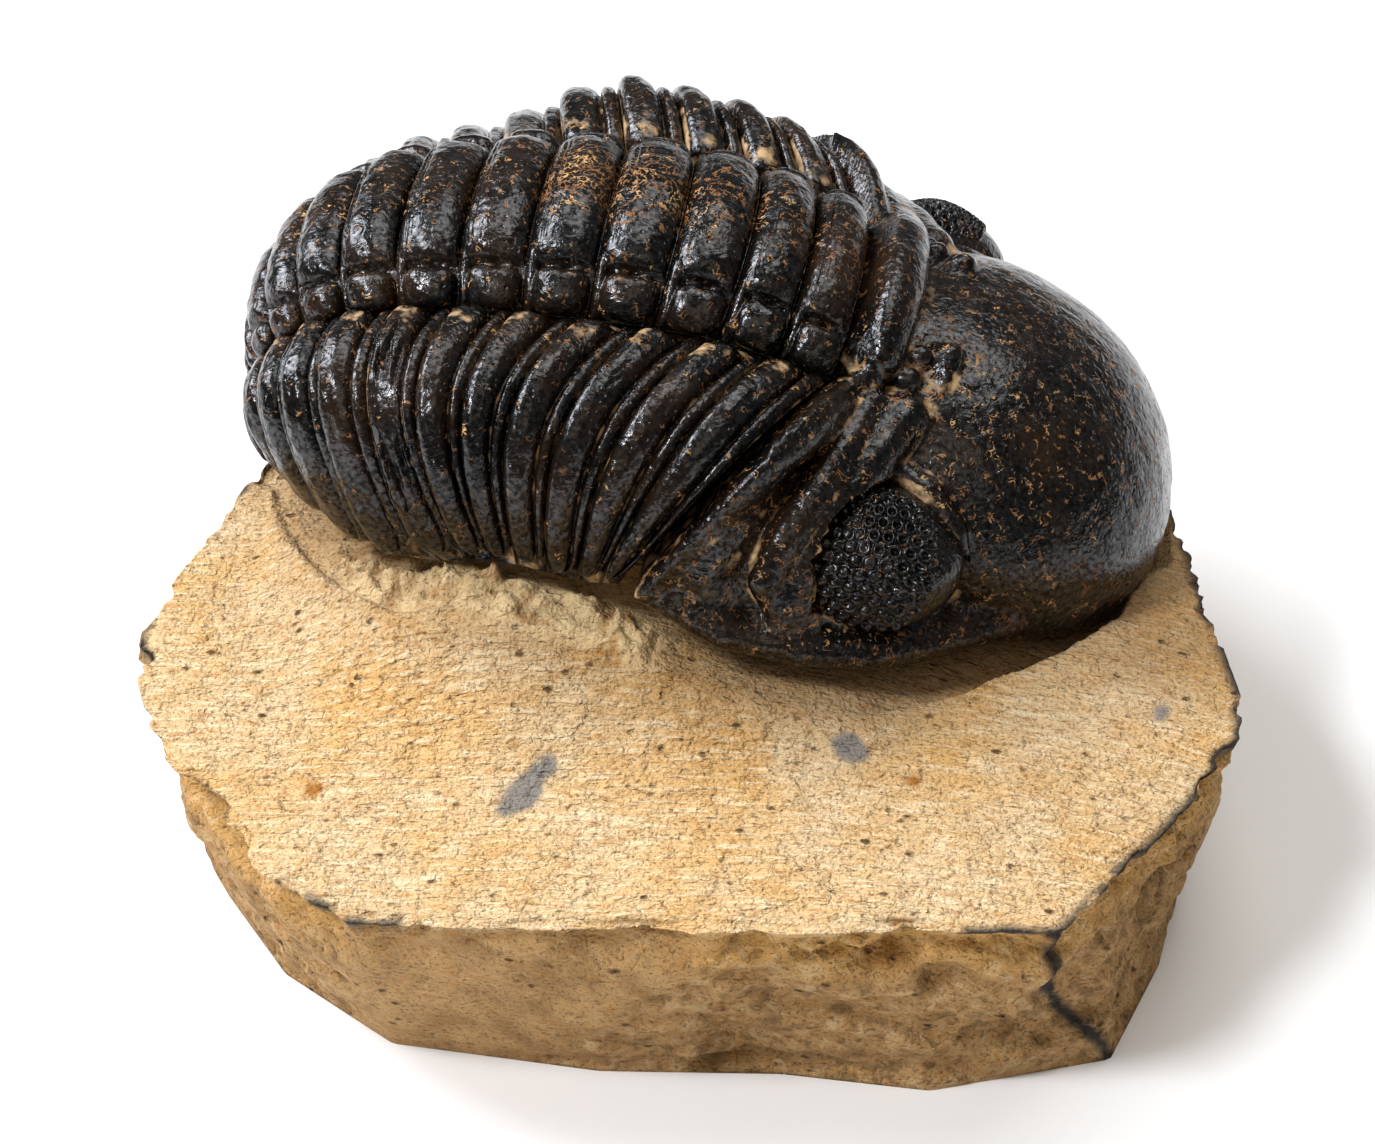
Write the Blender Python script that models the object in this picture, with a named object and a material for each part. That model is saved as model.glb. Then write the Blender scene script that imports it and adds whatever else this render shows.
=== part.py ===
"""Fossil phacopid trilobite on its block of matrix, as faceted solids."""

import bmesh
import bpy
import numpy as np

MM = 0.001

# The working frame is in millimetres with the stone's foot at Z 0.
# The body's midline is Y 0, the head points to +X and the near flank is at -Y.
FRAME_SHIFT = (-3.8, 15.9, 0.0)
SEGMENTS = 11
PYGIDIUM_END = 14.0
JOINT_GAP = 0.32
HEAD_GAP = 0.7
BED_GAP = 0.5

# Guide curves along the body. Station 0 is the neck, 11 the joint of thorax and pygidium, 14 the tail's end.
STATIONS = (0.0, 2.0, 4.0, 6.0, 8.0, 10.0, 12.0, 14.0)
CREST_X = (18.1, 7.5, -6.8, -21.1, -34.0, -42.2, -44.3, -41.6)
CREST_Z = (55.0, 59.2, 61.0, 59.6, 56.0, 48.8, 40.2, 31.0)
FURROW_X = (15.4, 4.4, -7.8, -20.0, -30.8, -37.9, -40.8, -40.4)
FURROW_Y = (12.0, 12.2, 12.5, 12.2, 11.3, 9.8, 7.0, 1.8)
FURROW_Z = (47.6, 51.2, 52.6, 52.2, 49.6, 44.6, 38.0, 31.4)
KNEE_X = (9.2, -2.7, -13.0, -21.8, -31.4, -38.0, -40.6, -40.8)
KNEE_Y = (25.0, 26.0, 26.2, 25.8, 23.2, 18.8, 13.2, 3.0)
KNEE_Z = (48.8, 49.8, 51.1, 51.3, 48.6, 44.0, 38.0, 31.6)
# The far flank's knees stand this far ahead of and above the near ones.
FAR_KNEE_X = (0.0, 2.5, 2.0, 0.0, 0.0, 0.0, 0.0, 0.0)
FAR_KNEE_Z = (0.0, 1.7, 1.4, -4.4, -4.2, -2.4, -1.0, 0.0)
TIP_X = (-2.0, -6.2, -12.0, -17.3, -26.4, -34.8, -39.4, -41.0)
TIP_Y = (30.6, 30.2, 29.8, 28.9, 25.8, 17.8, 10.0, 1.0)
BELLY_X = (-2.0, -6.2, -12.0, -16.8, -22.5, -27.5, -31.0, -34.0)
TIP_Z = (36.2, 35.8, 36.8, 36.3, 33.0, 32.2, 31.2, 30.6)

# Relief of the plates over the smooth body.
RING_HEIGHT = 2.4
NODE_HEIGHT = 2.1
BAND_HEIGHT = 1.7
LOBE_SHARE = 0.42
PLATE_THICKNESS = 0.5
SEGMENT_COLUMNS = 8
SEGMENT_ROWS = 26
TAIL_COLUMNS = 12
TAIL_ROWS = 26

# The head, pitched down and forward.
GLABELLA_CENTRE = (29.0, 0.0, 31.0)
GLABELLA_RADII = (20.4, 21.4, 16.0)
HEAD_PITCH = 33.0
CHEEK_CENTRE = (9.0, 0.0, 33.0)
CHEEK_RADII = (24.0, 32.6, 15.2)
CHEEK_PITCH = 22.0
EYE_CENTRE = (22.4, 23.2, 36.2)
EYE_RADII = (7.4, 7.2, 6.2)
NECK_CENTRE = (16.0, 0.0, 41.0)
NECK_RADII = (11.0, 12.4, 10.6)
CHEEK_SINK = 0.4
# The ridge behind the eye, the lid over it and the rim from the genal angle to the middle of the front.
RIDGE_PATH = ((20.5, 14.5, 45.0), (15.5, 21.5, 44.6), (11.6, 27.6, 41.0), (12.6, 30.4, 36.0))
RIDGE_RADII = (1.8, 2.2, 2.2, 1.6)
LID_PATH = ((18.0, 20.0, 41.4), (23.4, 18.4, 41.2), (28.6, 20.4, 37.4))
LID_RADII = (1.8, 2.6, 1.6)
MARGIN_PATH = (
    (-0.8, 31.0, 36.4), (7.7, 32.4, 32.6), (15.2, 31.6, 30.6), (22.0, 29.6, 29.2),
    (30.0, 23.5, 27.0), (38.8, 15.0, 24.6), (44.6, 7.0, 23.4), (46.2, 0.0, 23.2),
)
MARGIN_RADII = (1.2, 1.5, 1.6, 1.6, 1.5, 1.4, 1.4, 1.4)
BELLY_HEIGHT = 33.4
BELLY_SLOPE = 0.3
HEAD_MIDDLE = (10.0, 0.0, 37.0)
HEAD_COLUMNS = 132
HEAD_ROWS = 88
HEAD_KEEP = 0.11

# The stone: the corners of its top edge and of its foot, seen from above.
STONE_MIDDLE = (3.0, -15.0)
TOP_CORNERS = (
    (-49.8, -34.1, 25.5), (-44.3, -46.6, 24.5), (-31.1, -61.4, 23.5), (-21.8, -66.2, 23.0),
    (9.1, -64.0, 23.5), (42.4, -58.8, 23.5), (52.7, -40.9, 23.5), (57.3, -31.0, 24.0),
    (57.0, -24.5, 23.5), (50.0, 3.0, 21.5), (42.0, 21.0, 21.5), (22.0, 34.5, 23.0),
    (-14.0, 35.0, 26.0), (-36.0, 15.0, 28.0), (-44.0, -8.0, 28.5),
)
FOOT_CORNERS = (
    (-44.0, -30.0), (-40.0, -41.0), (-32.0, -51.0), (-20.0, -58.6), (0.0, -59.4), (17.0, -57.4),
    (31.0, -57.6), (47.5, -51.2), (51.4, -38.0), (52.6, -26.0), (45.0, 0.0), (36.0, 20.0),
    (18.0, 30.0), (-14.0, 30.0), (-34.0, 8.0), (-40.0, -14.0),
)
STONE_COLUMNS = 60
STONE_RINGS = 14
SIDE_RINGS = 3
MOUND_HEIGHT = 33.0
TAIL_EDGE = -40.0

PLATES = {"base": (0.014, 0.013, 0.012, 1.0), "rough": 0.34}
ROCK = {"base": (0.60, 0.42, 0.22, 1.0), "rough": 0.9}


def clear_scene():
    for item in list(bpy.data.objects):
        bpy.data.objects.remove(item, do_unlink=True)


def smooth_curve(at, knots, values):
    """A cubic through the values with slopes taken from the neighbouring knots."""
    knots = np.asarray(knots, float)
    values = np.asarray(values, float)
    slopes = np.gradient(values, knots)
    i = np.clip(np.searchsorted(knots, at) - 1, 0, len(knots) - 2)
    width = knots[i + 1] - knots[i]
    t = (at - knots[i]) / width
    first = (2 * t**3 - 3 * t**2 + 1) * values[i] + (t**3 - 2 * t**2 + t) * width * slopes[i]
    last = (-2 * t**3 + 3 * t**2) * values[i + 1] + (t**3 - t**2) * width * slopes[i + 1]
    return first + last


def guide(at, *curves):
    return np.stack([smooth_curve(at, STATIONS, c) for c in curves], -1)


def smooth_step(low, high, x):
    t = np.clip((x - low) / (high - low), 0.0, 1.0)
    return t * t * (3 - 2 * t)


def bump(x, middle, half):
    """A smooth hill of height 1 between middle - half and middle + half."""
    t = np.clip(np.abs(x - middle) / half, 0.0, 1.0)
    return (1 - t * t) ** 2


def unit(vectors):
    return vectors / np.maximum(np.linalg.norm(vectors, axis=-1, keepdims=True), 1e-9)


def smooth_body(station, side):
    """The body under its relief. Side runs from -1 at the near tips over 0 at the midline to 1 at the far tips."""
    station, side = np.broadcast_arrays(np.asarray(station, float), np.asarray(side, float))
    crest = guide(station, CREST_X, np.zeros(len(STATIONS)), CREST_Z)
    furrow = guide(station, FURROW_X, FURROW_Y, FURROW_Z)
    knee = guide(station, KNEE_X, KNEE_Y, KNEE_Z)
    apart = guide(station, FAR_KNEE_X, np.zeros(len(STATIONS)), FAR_KNEE_Z) * (station > 0)[..., None]
    knee = knee + apart * (side > LOBE_SHARE)[..., None]
    tip = guide(station, TIP_X, TIP_Y, TIP_Z)
    root = furrow * (1.0, 0.0, 1.0)
    rise = crest - root
    rise = rise * (1 - RING_HEIGHT / np.maximum(np.linalg.norm(rise, axis=-1, keepdims=True), RING_HEIGHT * 2))
    turn = (np.minimum(np.abs(side) / LOBE_SHARE, 1.0) * np.pi / 2)[..., None]
    lobe = root + rise * np.cos(turn) + furrow * (0.0, 1.0, 0.0) * np.sin(turn)
    t = np.clip((np.abs(side) - LOBE_SHARE) / (1 - LOBE_SHARE), 0.0, 1.0)[..., None]
    corner = (knee - 0.21875 * (furrow + tip)) / 0.5625
    inner = furrow + 0.75 * (corner - furrow)
    outer = tip + 0.75 * (corner - tip)
    flank = (1 - t) ** 3 * furrow + 3 * (1 - t) ** 2 * t * inner + 3 * (1 - t) * t * t * outer + t**3 * tip
    place = np.where(np.abs(side)[..., None] < LOBE_SHARE, lobe, flank)
    return place * np.stack([np.ones_like(side), np.where(side < 0, -1.0, 1.0), np.ones_like(side)], -1)


def body_normal(station, side):
    step = 0.03
    low = np.clip(side - step, -1.0, 1.0)
    high = np.clip(side + step, -1.0, 1.0)
    across = smooth_body(station, high) - smooth_body(station, low)
    along = smooth_body(station + step, side) - smooth_body(station - step, side)
    return unit(np.cross(across, along))


def relief(share, side, size):
    """Height of a segment's ring, side nodes and two-banded pleura. Share runs from 0 at its front edge to 1."""
    reach = np.abs(side) / LOBE_SHARE
    ring = bump(share, 0.44, 0.5) ** 0.6 * (1 - smooth_step(0.48, 0.6, reach))
    node = bump(share, 0.5, 0.5) ** 0.6 * bump(reach, 0.76, 0.25)
    flank = smooth_step(1.02, 1.12, reach)
    tip = 1 - smooth_step(0.88, 1.0, np.abs(side))
    front = 0.5 * bump(share, 0.16, 0.2)
    back = bump(share, 0.68, 0.34) ** 0.6
    height = RING_HEIGHT * ring + NODE_HEIGHT * node + BAND_HEIGHT * flank * tip * (front + back)
    return height * size


def belly(station, side):
    """The underside below a point of the smooth body, drawn in at the tail so that the joints run inwards."""
    station = np.asarray(station, float)
    foot = guide(station, BELLY_X, TIP_Y, TIP_Z)
    knee = guide(station, KNEE_Y)
    over = smooth_body(station, side)
    foot, over = np.broadcast_arrays(foot, over)
    drawn = np.minimum(1.0, foot[..., 1] / (1.08 * knee[..., 0])) * (1 - 0.35 * smooth_step(7.0, 11.0, station))
    return np.stack([foot[..., 0], over[..., 1] * drawn, foot[..., 2] - PLATE_THICKNESS], -1)


def inset_station(station, side, shift, surface):
    """Moves an end station inwards by half the joint gap, whatever the local spacing is."""
    step = 0.05
    move = surface(station + step, side) - surface(station - step, side)
    spacing = np.linalg.norm(move, axis=-1) / (2 * step)
    return station + shift * 0.5 * JOINT_GAP / np.maximum(spacing, 0.6)


def sphere_grid(columns, rows):
    """A sphere's mesh, and for each vertex its column and row. Row 0 and the last row are the poles."""
    mesh = bmesh.new()
    bmesh.ops.create_uvsphere(mesh, u_segments=columns, v_segments=rows, radius=1.0)
    points = np.array([v.co for v in mesh.verts])
    row = np.rint(np.arccos(np.clip(points[:, 2], -1, 1)) / np.pi * rows).astype(int)
    column = np.rint(np.arctan2(points[:, 1], points[:, 0]) / (2 * np.pi) * columns).astype(int) % columns
    return mesh, points, column, row


def finish_node(name, mesh, places, smooth_angle=0.7):
    for vertex, place in zip(mesh.verts, places):
        vertex.co = (place + FRAME_SHIFT) * MM
    bmesh.ops.triangulate(mesh, faces=mesh.faces[:], quad_method="SHORT_EDGE")
    if mesh.calc_volume(signed=True) < 0:
        bmesh.ops.reverse_faces(mesh, faces=mesh.faces[:])
    data = bpy.data.meshes.new(name)
    mesh.to_mesh(data)
    mesh.free()
    node = bpy.data.objects.new(name, data)
    bpy.context.scene.collection.objects.link(node)
    data.shade_smooth()
    data.set_sharp_from_angle(angle=smooth_angle)
    look = PLATES if name != "matrix" else ROCK
    material = bpy.data.materials.new(name)
    material.use_nodes = True
    shader = material.node_tree.nodes["Principled BSDF"]
    shader.inputs["Base Color"].default_value = look["base"]
    shader.inputs["Roughness"].default_value = look["rough"]
    data.materials.append(material)
    return node


def row_sides(row, rows):
    """Where each row lies across the body, with the poles at the tips."""
    return 2.0 * row / rows - 1.0


def plate_places(column, row, columns, rows, start, end, height_of):
    """Places of a plate's vertices: the top columns run from its front to its back edge, two more close the belly."""
    top = columns - 2
    side = row_sides(row, rows)
    share = np.where(column < top, column / (top - 1), np.where(column == top, 1.0, 0.0))
    station = start + (end - start) * share
    ends = np.where(share <= 0, 1.0, np.where(share >= 1, -1.0, 0.0))
    upper = inset_station(station, side, ends, smooth_body)
    lower = inset_station(station, side, ends, belly)
    places = smooth_body(upper, side) + body_normal(upper, side) * height_of(upper, side)[:, None]
    return np.where((column < top)[:, None], places, belly(lower, side))


def make_segment(number):
    start = float(number - 1)

    def height_of(station, side):
        return relief(station - start, side, 0.8 + 0.2 * smooth_step(11.0, 7.0, station))

    mesh, _, column, row = sphere_grid(SEGMENT_COLUMNS, SEGMENT_ROWS)
    places = plate_places(column, row, SEGMENT_COLUMNS, SEGMENT_ROWS, start, start + 1.0, height_of)
    finish_node(f"thoracic_segment_{number:02d}", mesh, places)


def make_pygidium():
    def height_of(station, side):
        along = (station - SEGMENTS) / (PYGIDIUM_END - SEGMENTS)
        rings = np.abs(np.sin(np.pi * 4 * along)) ** 0.7
        lobe = 1 - smooth_step(0.7, 1.1, np.abs(side) / LOBE_SHARE)
        tip = 1 - smooth_step(0.8, 1.0, np.abs(side))
        fade = (1 - smooth_step(0.7, 1.0, along)) * smooth_step(0.0, 0.06, along)
        return fade * (0.4 + 0.9 * rings * (0.6 + 0.7 * lobe)) * tip

    mesh, _, column, row = sphere_grid(TAIL_COLUMNS, TAIL_ROWS)
    places = plate_places(column, row, TAIL_COLUMNS, TAIL_ROWS, float(SEGMENTS), PYGIDIUM_END, height_of)
    finish_node("pygidium", mesh, places)


def pitched(points, centre, pitch):
    """Coordinates about a centre, with the first axis turned down towards +X."""
    turn = np.radians(pitch)
    moved = points - centre
    first = moved[:, 0] * np.cos(turn) - moved[:, 2] * np.sin(turn)
    third = moved[:, 0] * np.sin(turn) + moved[:, 2] * np.cos(turn)
    return np.stack([first, moved[:, 1], third], 1)


def ellipsoid(points, centre, radii, pitch=0.0, power=2.0):
    local = np.abs(pitched(points, np.array(centre), pitch)) / radii
    size = (local**power).sum(1) ** (1 / power)
    return (size - 1) * min(radii)


def tube(points, path, radii):
    """Distance to a chain of cones of these radii."""
    best = np.full(len(points), 1e3)
    for (a, b), (ra, rb) in zip(zip(path[:-1], path[1:]), zip(radii[:-1], radii[1:])):
        line = b - a
        t = np.clip(((points - a) @ line) / (line @ line), 0.0, 1.0)
        away = np.linalg.norm(points - a - t[:, None] * line, axis=1)
        best = np.minimum(best, away - ra - t * (rb - ra))
    return best


def melt(a, b, width):
    """The union of two distances with a fillet of this width."""
    t = np.clip(0.5 + 0.5 * (b - a) / width, 0.0, 1.0)
    return b + (a - b) * t - width * t * (1 - t)


def neck_sheet(points, away):
    """Distance behind the joint of head and thorax."""
    edge = smooth_body(0.0, np.linspace(0.0, 1.0, 80))
    foot = belly(0.0, 0.5)
    y = np.abs(points[:, 1])
    x_top = np.interp(y, edge[:, 1], edge[:, 0])
    z_top = np.interp(y, edge[:, 1], edge[:, 2])
    slope = (x_top - foot[0]) / np.maximum(z_top - foot[2], 1.5)
    reach = np.maximum(points[:, 2], foot[2]) - foot[2]
    sheet = foot[0] + np.minimum(reach * slope, x_top - foot[0] + 3.0)
    flank = edge[:54:-1]
    x_flank = np.interp(points[:, 2], flank[:, 2], flank[:, 0])
    y_flank = np.interp(points[:, 2], flank[:, 2], flank[:, 1])
    sheet = np.where(y > y_flank - 1.0, np.maximum(sheet, x_flank), sheet)
    wider = away * (1 + 1.2 * smooth_step(14.0, 24.0, y))
    return (sheet + wider - points[:, 0]) * 0.6


def head_distance(points):
    """Distance to the head's surface, negative inside. The head is alike on both sides."""
    p = np.stack([points[:, 0], np.abs(points[:, 1]), points[:, 2]], 1)
    glabella = ellipsoid(p, GLABELLA_CENTRE, GLABELLA_RADII, HEAD_PITCH, 2.15)
    neck = ellipsoid(p, NECK_CENTRE, NECK_RADII)
    solid = melt(glabella, neck, 1.0)
    cheek = ellipsoid(p, CHEEK_CENTRE, CHEEK_RADII, CHEEK_PITCH, 3.0)
    solid = np.minimum(solid, cheek + CHEEK_SINK)
    arc = np.linspace(0.0, LOBE_SHARE * 0.72, 7)
    occipital = smooth_body(-0.45, arc) + body_normal(-0.45, arc) * 0.2
    solid = melt(solid, tube(p, occipital, np.linspace(2.5, 2.1, 7)), 0.5)
    node = smooth_body(np.array([-0.4]), np.array([LOBE_SHARE * 0.86]))[0]
    solid = melt(solid, ellipsoid(p, node, (2.6, 2.4, 2.4)), 0.4)
    along = np.linspace(LOBE_SHARE + 0.04, 0.97, 9)
    border = smooth_body(-0.32, along) - body_normal(-0.32, along) * 0.9
    solid = melt(solid, tube(p, border, np.linspace(2.1, 2.9, 9)), 0.5)
    solid = melt(solid, tube(p, np.array(RIDGE_PATH), RIDGE_RADII), 0.6)
    solid = np.minimum(solid, ellipsoid(p, EYE_CENTRE, EYE_RADII))
    solid = melt(solid, tube(p, np.array(LID_PATH), LID_RADII), 0.5)
    rim = tube(p, np.array(MARGIN_PATH), MARGIN_RADII)
    solid = melt(solid, rim, 0.8)
    solid = np.maximum(solid, neck_sheet(p, HEAD_GAP))
    under = BELLY_HEIGHT - BELLY_SLOPE * p[:, 0]
    return np.maximum(solid, under - p[:, 2])


def cast_inwards(directions, start, steps, middle):
    """Walks from outside towards the middle until each ray meets the head."""
    far = np.full(len(directions), start)
    for _ in range(steps):
        far = far - 0.7 * head_distance(middle + directions * far[:, None])
    return np.maximum(far, 0.5)


def make_head():
    mesh, points, _, _ = sphere_grid(HEAD_COLUMNS, HEAD_ROWS)
    directions = unit(np.stack([points[:, 0], points[:, 2], points[:, 1]], 1) * (1.0, 1.0, 0.9))
    middle = np.array(HEAD_MIDDLE)
    reach = cast_inwards(directions, 60.0, 90, middle)
    head = finish_node("cephalon", mesh, middle + directions * reach[:, None])
    thin = head.modifiers.new("thin", "DECIMATE")
    thin.ratio = HEAD_KEEP


def outline_radius(corners, bearing):
    """How far a closed outline is from the stone's middle on each bearing, straight between corners."""
    corners = np.array([c[:2] for c in corners]) - STONE_MIDDLE
    reach = np.full(len(bearing), 1.0)
    heading = np.stack([np.cos(bearing), np.sin(bearing)], 1)
    for a, b in zip(corners, np.roll(corners, -1, axis=0)):
        edge = b - a
        cross = heading[:, 0] * edge[1] - heading[:, 1] * edge[0]
        cross = np.where(np.abs(cross) < 1e-9, 1e-9, cross)
        far = (a[0] * edge[1] - a[1] * edge[0]) / cross
        on = (a[0] * heading[:, 1] - a[1] * heading[:, 0]) / cross
        reach = np.where((far > 0) & (on >= -1e-6) & (on <= 1 + 1e-6), np.maximum(reach, far), reach)
    return reach


def edge_height(bearing):
    corners = np.array(TOP_CORNERS)
    turns = np.arctan2(corners[:, 1] - STONE_MIDDLE[1], corners[:, 0] - STONE_MIDDLE[0])
    order = np.argsort(turns)
    return np.interp(bearing, turns[order], corners[order, 2], period=2 * np.pi)


def bed_height(x):
    """The level just below the trilobite's underside at this X."""
    station = np.linspace(PYGIDIUM_END, 0.0, 60)
    tip = guide(station, TIP_X, TIP_Z, BELLY_X)
    at_tips = np.interp(x, tip[:, 0], tip[:, 1])
    at_belly = np.interp(x, tip[:, 2], tip[:, 1])
    thorax = np.minimum(at_tips, at_belly) - PLATE_THICKNESS
    head = BELLY_HEIGHT - BELLY_SLOPE * x
    return np.where(x > TIP_X[0] - 1.0, np.minimum(thorax, head), thorax) - BED_GAP


def half_width(x):
    """Half the trilobite's width at this X."""
    station = np.linspace(PYGIDIUM_END, 0.0, 60)
    tip = guide(station, TIP_X, TIP_Y)
    rim = np.array(MARGIN_PATH)
    return np.interp(x, np.append(tip[:, 0], rim[:, 0]), np.append(tip[:, 1], rim[:, 1]), left=0.0, right=0.0)


def stone_top(x, y, edge, share):
    """The stone's upper surface: the edge's height, a mound beside the thorax and the bed under the trilobite."""
    behind = np.maximum(TAIL_EDGE - x, 0.0)
    beside = np.abs(y) - half_width(np.maximum(x, TAIL_EDGE))
    outside = np.where(behind > 0, np.hypot(np.maximum(beside, 0.0), behind), beside)
    mound = np.exp(-(((x + 18.0) / 27.0) ** 2) - (np.maximum(outside, 0.0) / 11.0) ** 2)
    level = edge * share**2 + (1 - share**2) * 24.0
    slab = level + (MOUND_HEIGHT - level) * mound * (1 - share**6)
    bed = bed_height(x)
    inset = 3.0 + 4.0 * smooth_step(-5.0, 20.0, x)
    ends = smooth_step(-41.5, -36.0, x) * smooth_step(42.0, 34.0, x)
    on_bed = smooth_step(0.0, 4.5, -outside - inset) * ends
    ahead = smooth_step(44.0, 52.0, x)
    clear = bed - 2.0 + 30.0 * smooth_step(0.0, 14.0, outside - 3.0) + 8.0 * ahead
    return np.where(on_bed > 0, np.minimum(slab, clear) * (1 - on_bed) + bed * on_bed, np.minimum(slab, clear))


def make_matrix():
    mesh, points, _, row = sphere_grid(STONE_COLUMNS, STONE_RINGS + SIDE_RINGS + 1)
    bearing = np.arctan2(points[:, 1], points[:, 0])
    top = outline_radius(TOP_CORNERS, bearing)
    foot = outline_radius(FOOT_CORNERS, bearing)
    edge = edge_height(bearing)
    share = np.clip(row / STONE_RINGS, 0.0, 1.0)
    radius = top * share
    x = STONE_MIDDLE[0] + radius * np.cos(bearing)
    y = STONE_MIDDLE[1] + radius * np.sin(bearing)
    z = stone_top(x, y, edge, share)
    down = (row - STONE_RINGS) / SIDE_RINGS
    side = top + (foot - top) * np.maximum(down, 0.0) ** 1.3
    low = row > STONE_RINGS
    x = np.where(low, STONE_MIDDLE[0] + side * np.cos(bearing), x)
    y = np.where(low, STONE_MIDDLE[1] + side * np.sin(bearing), y)
    z = np.where(low, edge * (1 - down), z)
    pole = row > STONE_RINGS + SIDE_RINGS
    x = np.where(pole, STONE_MIDDLE[0], x)
    y = np.where(pole, STONE_MIDDLE[1], y)
    z = np.where(pole, 0.0, z)
    finish_node("matrix", mesh, np.stack([x, y, z], 1), 0.5)


def main():
    clear_scene()
    make_matrix()
    make_head()
    for number in range(1, SEGMENTS + 1):
        make_segment(number)
    make_pygidium()


main()
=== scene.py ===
"""A black phacopid trilobite on its block of limestone: its fine surface, its finishes and a plain stage.

It is laid out as an add-on and is run as a script. Lengths inside the shape functions are in
millimetres, in the working frame: the body's midline is Y 0, the head points to +X, the near flank is at -Y
and the stone's foot is Z 0.
"""

import itertools
import math

import bmesh
import bpy
import numpy as np
from bpy.props import FloatProperty, FloatVectorProperty, PointerProperty
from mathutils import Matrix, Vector


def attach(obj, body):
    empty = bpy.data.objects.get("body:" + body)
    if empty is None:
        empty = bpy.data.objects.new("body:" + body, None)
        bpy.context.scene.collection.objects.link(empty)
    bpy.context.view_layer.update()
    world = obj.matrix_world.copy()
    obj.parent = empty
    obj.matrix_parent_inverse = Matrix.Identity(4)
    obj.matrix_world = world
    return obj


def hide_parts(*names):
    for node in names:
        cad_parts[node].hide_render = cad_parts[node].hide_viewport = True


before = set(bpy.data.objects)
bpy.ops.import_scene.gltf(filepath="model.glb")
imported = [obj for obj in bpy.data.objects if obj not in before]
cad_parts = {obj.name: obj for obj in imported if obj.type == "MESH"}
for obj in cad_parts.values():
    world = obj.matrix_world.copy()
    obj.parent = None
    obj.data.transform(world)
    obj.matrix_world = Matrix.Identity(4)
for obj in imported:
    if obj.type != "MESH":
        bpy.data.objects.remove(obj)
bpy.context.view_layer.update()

bl_info = {
    "name": "Trilobite fossil on limestone",
    "version": (1, 0, 0),
    "blender": (4, 5, 0),
    "location": "View3D > Sidebar > Fossil",
    "description": "Models a black trilobite on its block of limestone, with its finishes and a plain stage",
    "category": "Add Mesh",
}

MM = 0.001
FRAME_SHIFT = (-3.8, 15.9, 0.0)
SEGMENTS = 11
TAIL_END = 14.0
JOINT_GAP = 0.32
HEAD_GAP = 0.7
BED_GAP = 0.5
# A quick trial has half as many columns and rows in each grid.
DETAIL = 1.0

# Columns and rows of the grids that the pieces start from. The stone has rows for its top and for its sides.
HEAD_GRID = (396, 240)
EYE_GRID = (260, 190)
SEGMENT_GRID = (66, 250)
TAIL_GRID = (120, 220)
STONE_GRID = (500, 136, 54)

# Guide curves along the body. Station 0 is the neck, 11 the joint with the tail shield, 14 the tail's end.
STATIONS = (0.0, 2.0, 4.0, 6.0, 8.0, 10.0, 12.0, 14.0)
CREST_X = (18.1, 7.5, -6.8, -21.1, -34.0, -42.2, -44.3, -41.6)
CREST_Z = (55.0, 59.2, 61.0, 59.6, 56.0, 48.8, 40.2, 31.0)
FURROW_X = (15.4, 4.4, -7.8, -20.0, -30.8, -37.9, -40.8, -40.4)
FURROW_Y = (12.0, 12.2, 12.5, 12.2, 11.3, 9.8, 7.0, 1.8)
FURROW_Z = (47.6, 51.2, 52.6, 52.2, 49.6, 44.6, 38.0, 31.4)
KNEE_X = (9.2, -2.7, -13.0, -21.8, -31.4, -38.0, -40.6, -40.8)
KNEE_Y = (25.0, 26.0, 26.2, 25.8, 23.2, 18.8, 13.2, 3.0)
KNEE_Z = (48.8, 49.8, 51.1, 51.3, 48.6, 44.0, 38.0, 31.6)
# The far flank's knees stand this far ahead of and above the near ones.
FAR_KNEE_X = (0.0, 2.5, 2.0, 0.0, 0.0, 0.0, 0.0, 0.0)
FAR_KNEE_Z = (0.0, 1.7, 1.4, -4.4, -4.2, -2.4, -1.0, 0.0)
TIP_X = (-2.0, -6.2, -12.0, -17.3, -26.4, -34.8, -39.4, -41.0)
TIP_Y = (30.6, 30.2, 29.8, 28.9, 25.8, 17.8, 10.0, 1.0)
TIP_Z = (36.2, 35.8, 36.8, 36.3, 33.0, 32.2, 31.2, 30.6)
BELLY_X = (-2.0, -6.2, -12.0, -16.8, -22.5, -27.5, -31.0, -34.0)
LOBE_SHARE = 0.42
PLATE_THICKNESS = 0.5
# A plate narrows to its rounded tip from this side value on.
TIP_ROUNDING = 0.955
BROKEN_PLATE = 7
# A plate's relief: the ring's end as a share of the lobe's width, the knob's middle and half size as shares
# of that width and of the plate's length, and where the flank's two bands meet, as a share of that length.
RING_END = 0.56
KNOB_MIDDLE = (0.755, 0.47)
KNOB_HALF = (0.19, 0.43)
BAND_SPLIT = 0.31
# How worn each ring's middle is, by the number of its plate, and how worn the others are.
WORN_RINGS = {4: 0.8, 5: 1.0, 3: 0.5, 2: 0.4, 1: 0.4}
WORN_ELSEWHERE = 0.15
TAIL_RINGS = 7

# The head, pitched down and forward.
GLABELLA_CENTRE = (29.0, 0.0, 31.0)
GLABELLA_RADII = (20.4, 21.4, 16.0)
HEAD_PITCH = 33.0
CHEEK_CENTRE = (9.0, 0.0, 33.0)
CHEEK_RADII = (24.0, 32.6, 15.2)
CHEEK_PITCH = 22.0
CHEEK_SINK = 1.0
EYE_CENTRE = (21.6, 23.3, 35.9)
EYE_RADII = (8.1, 7.5, 6.6)
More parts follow.
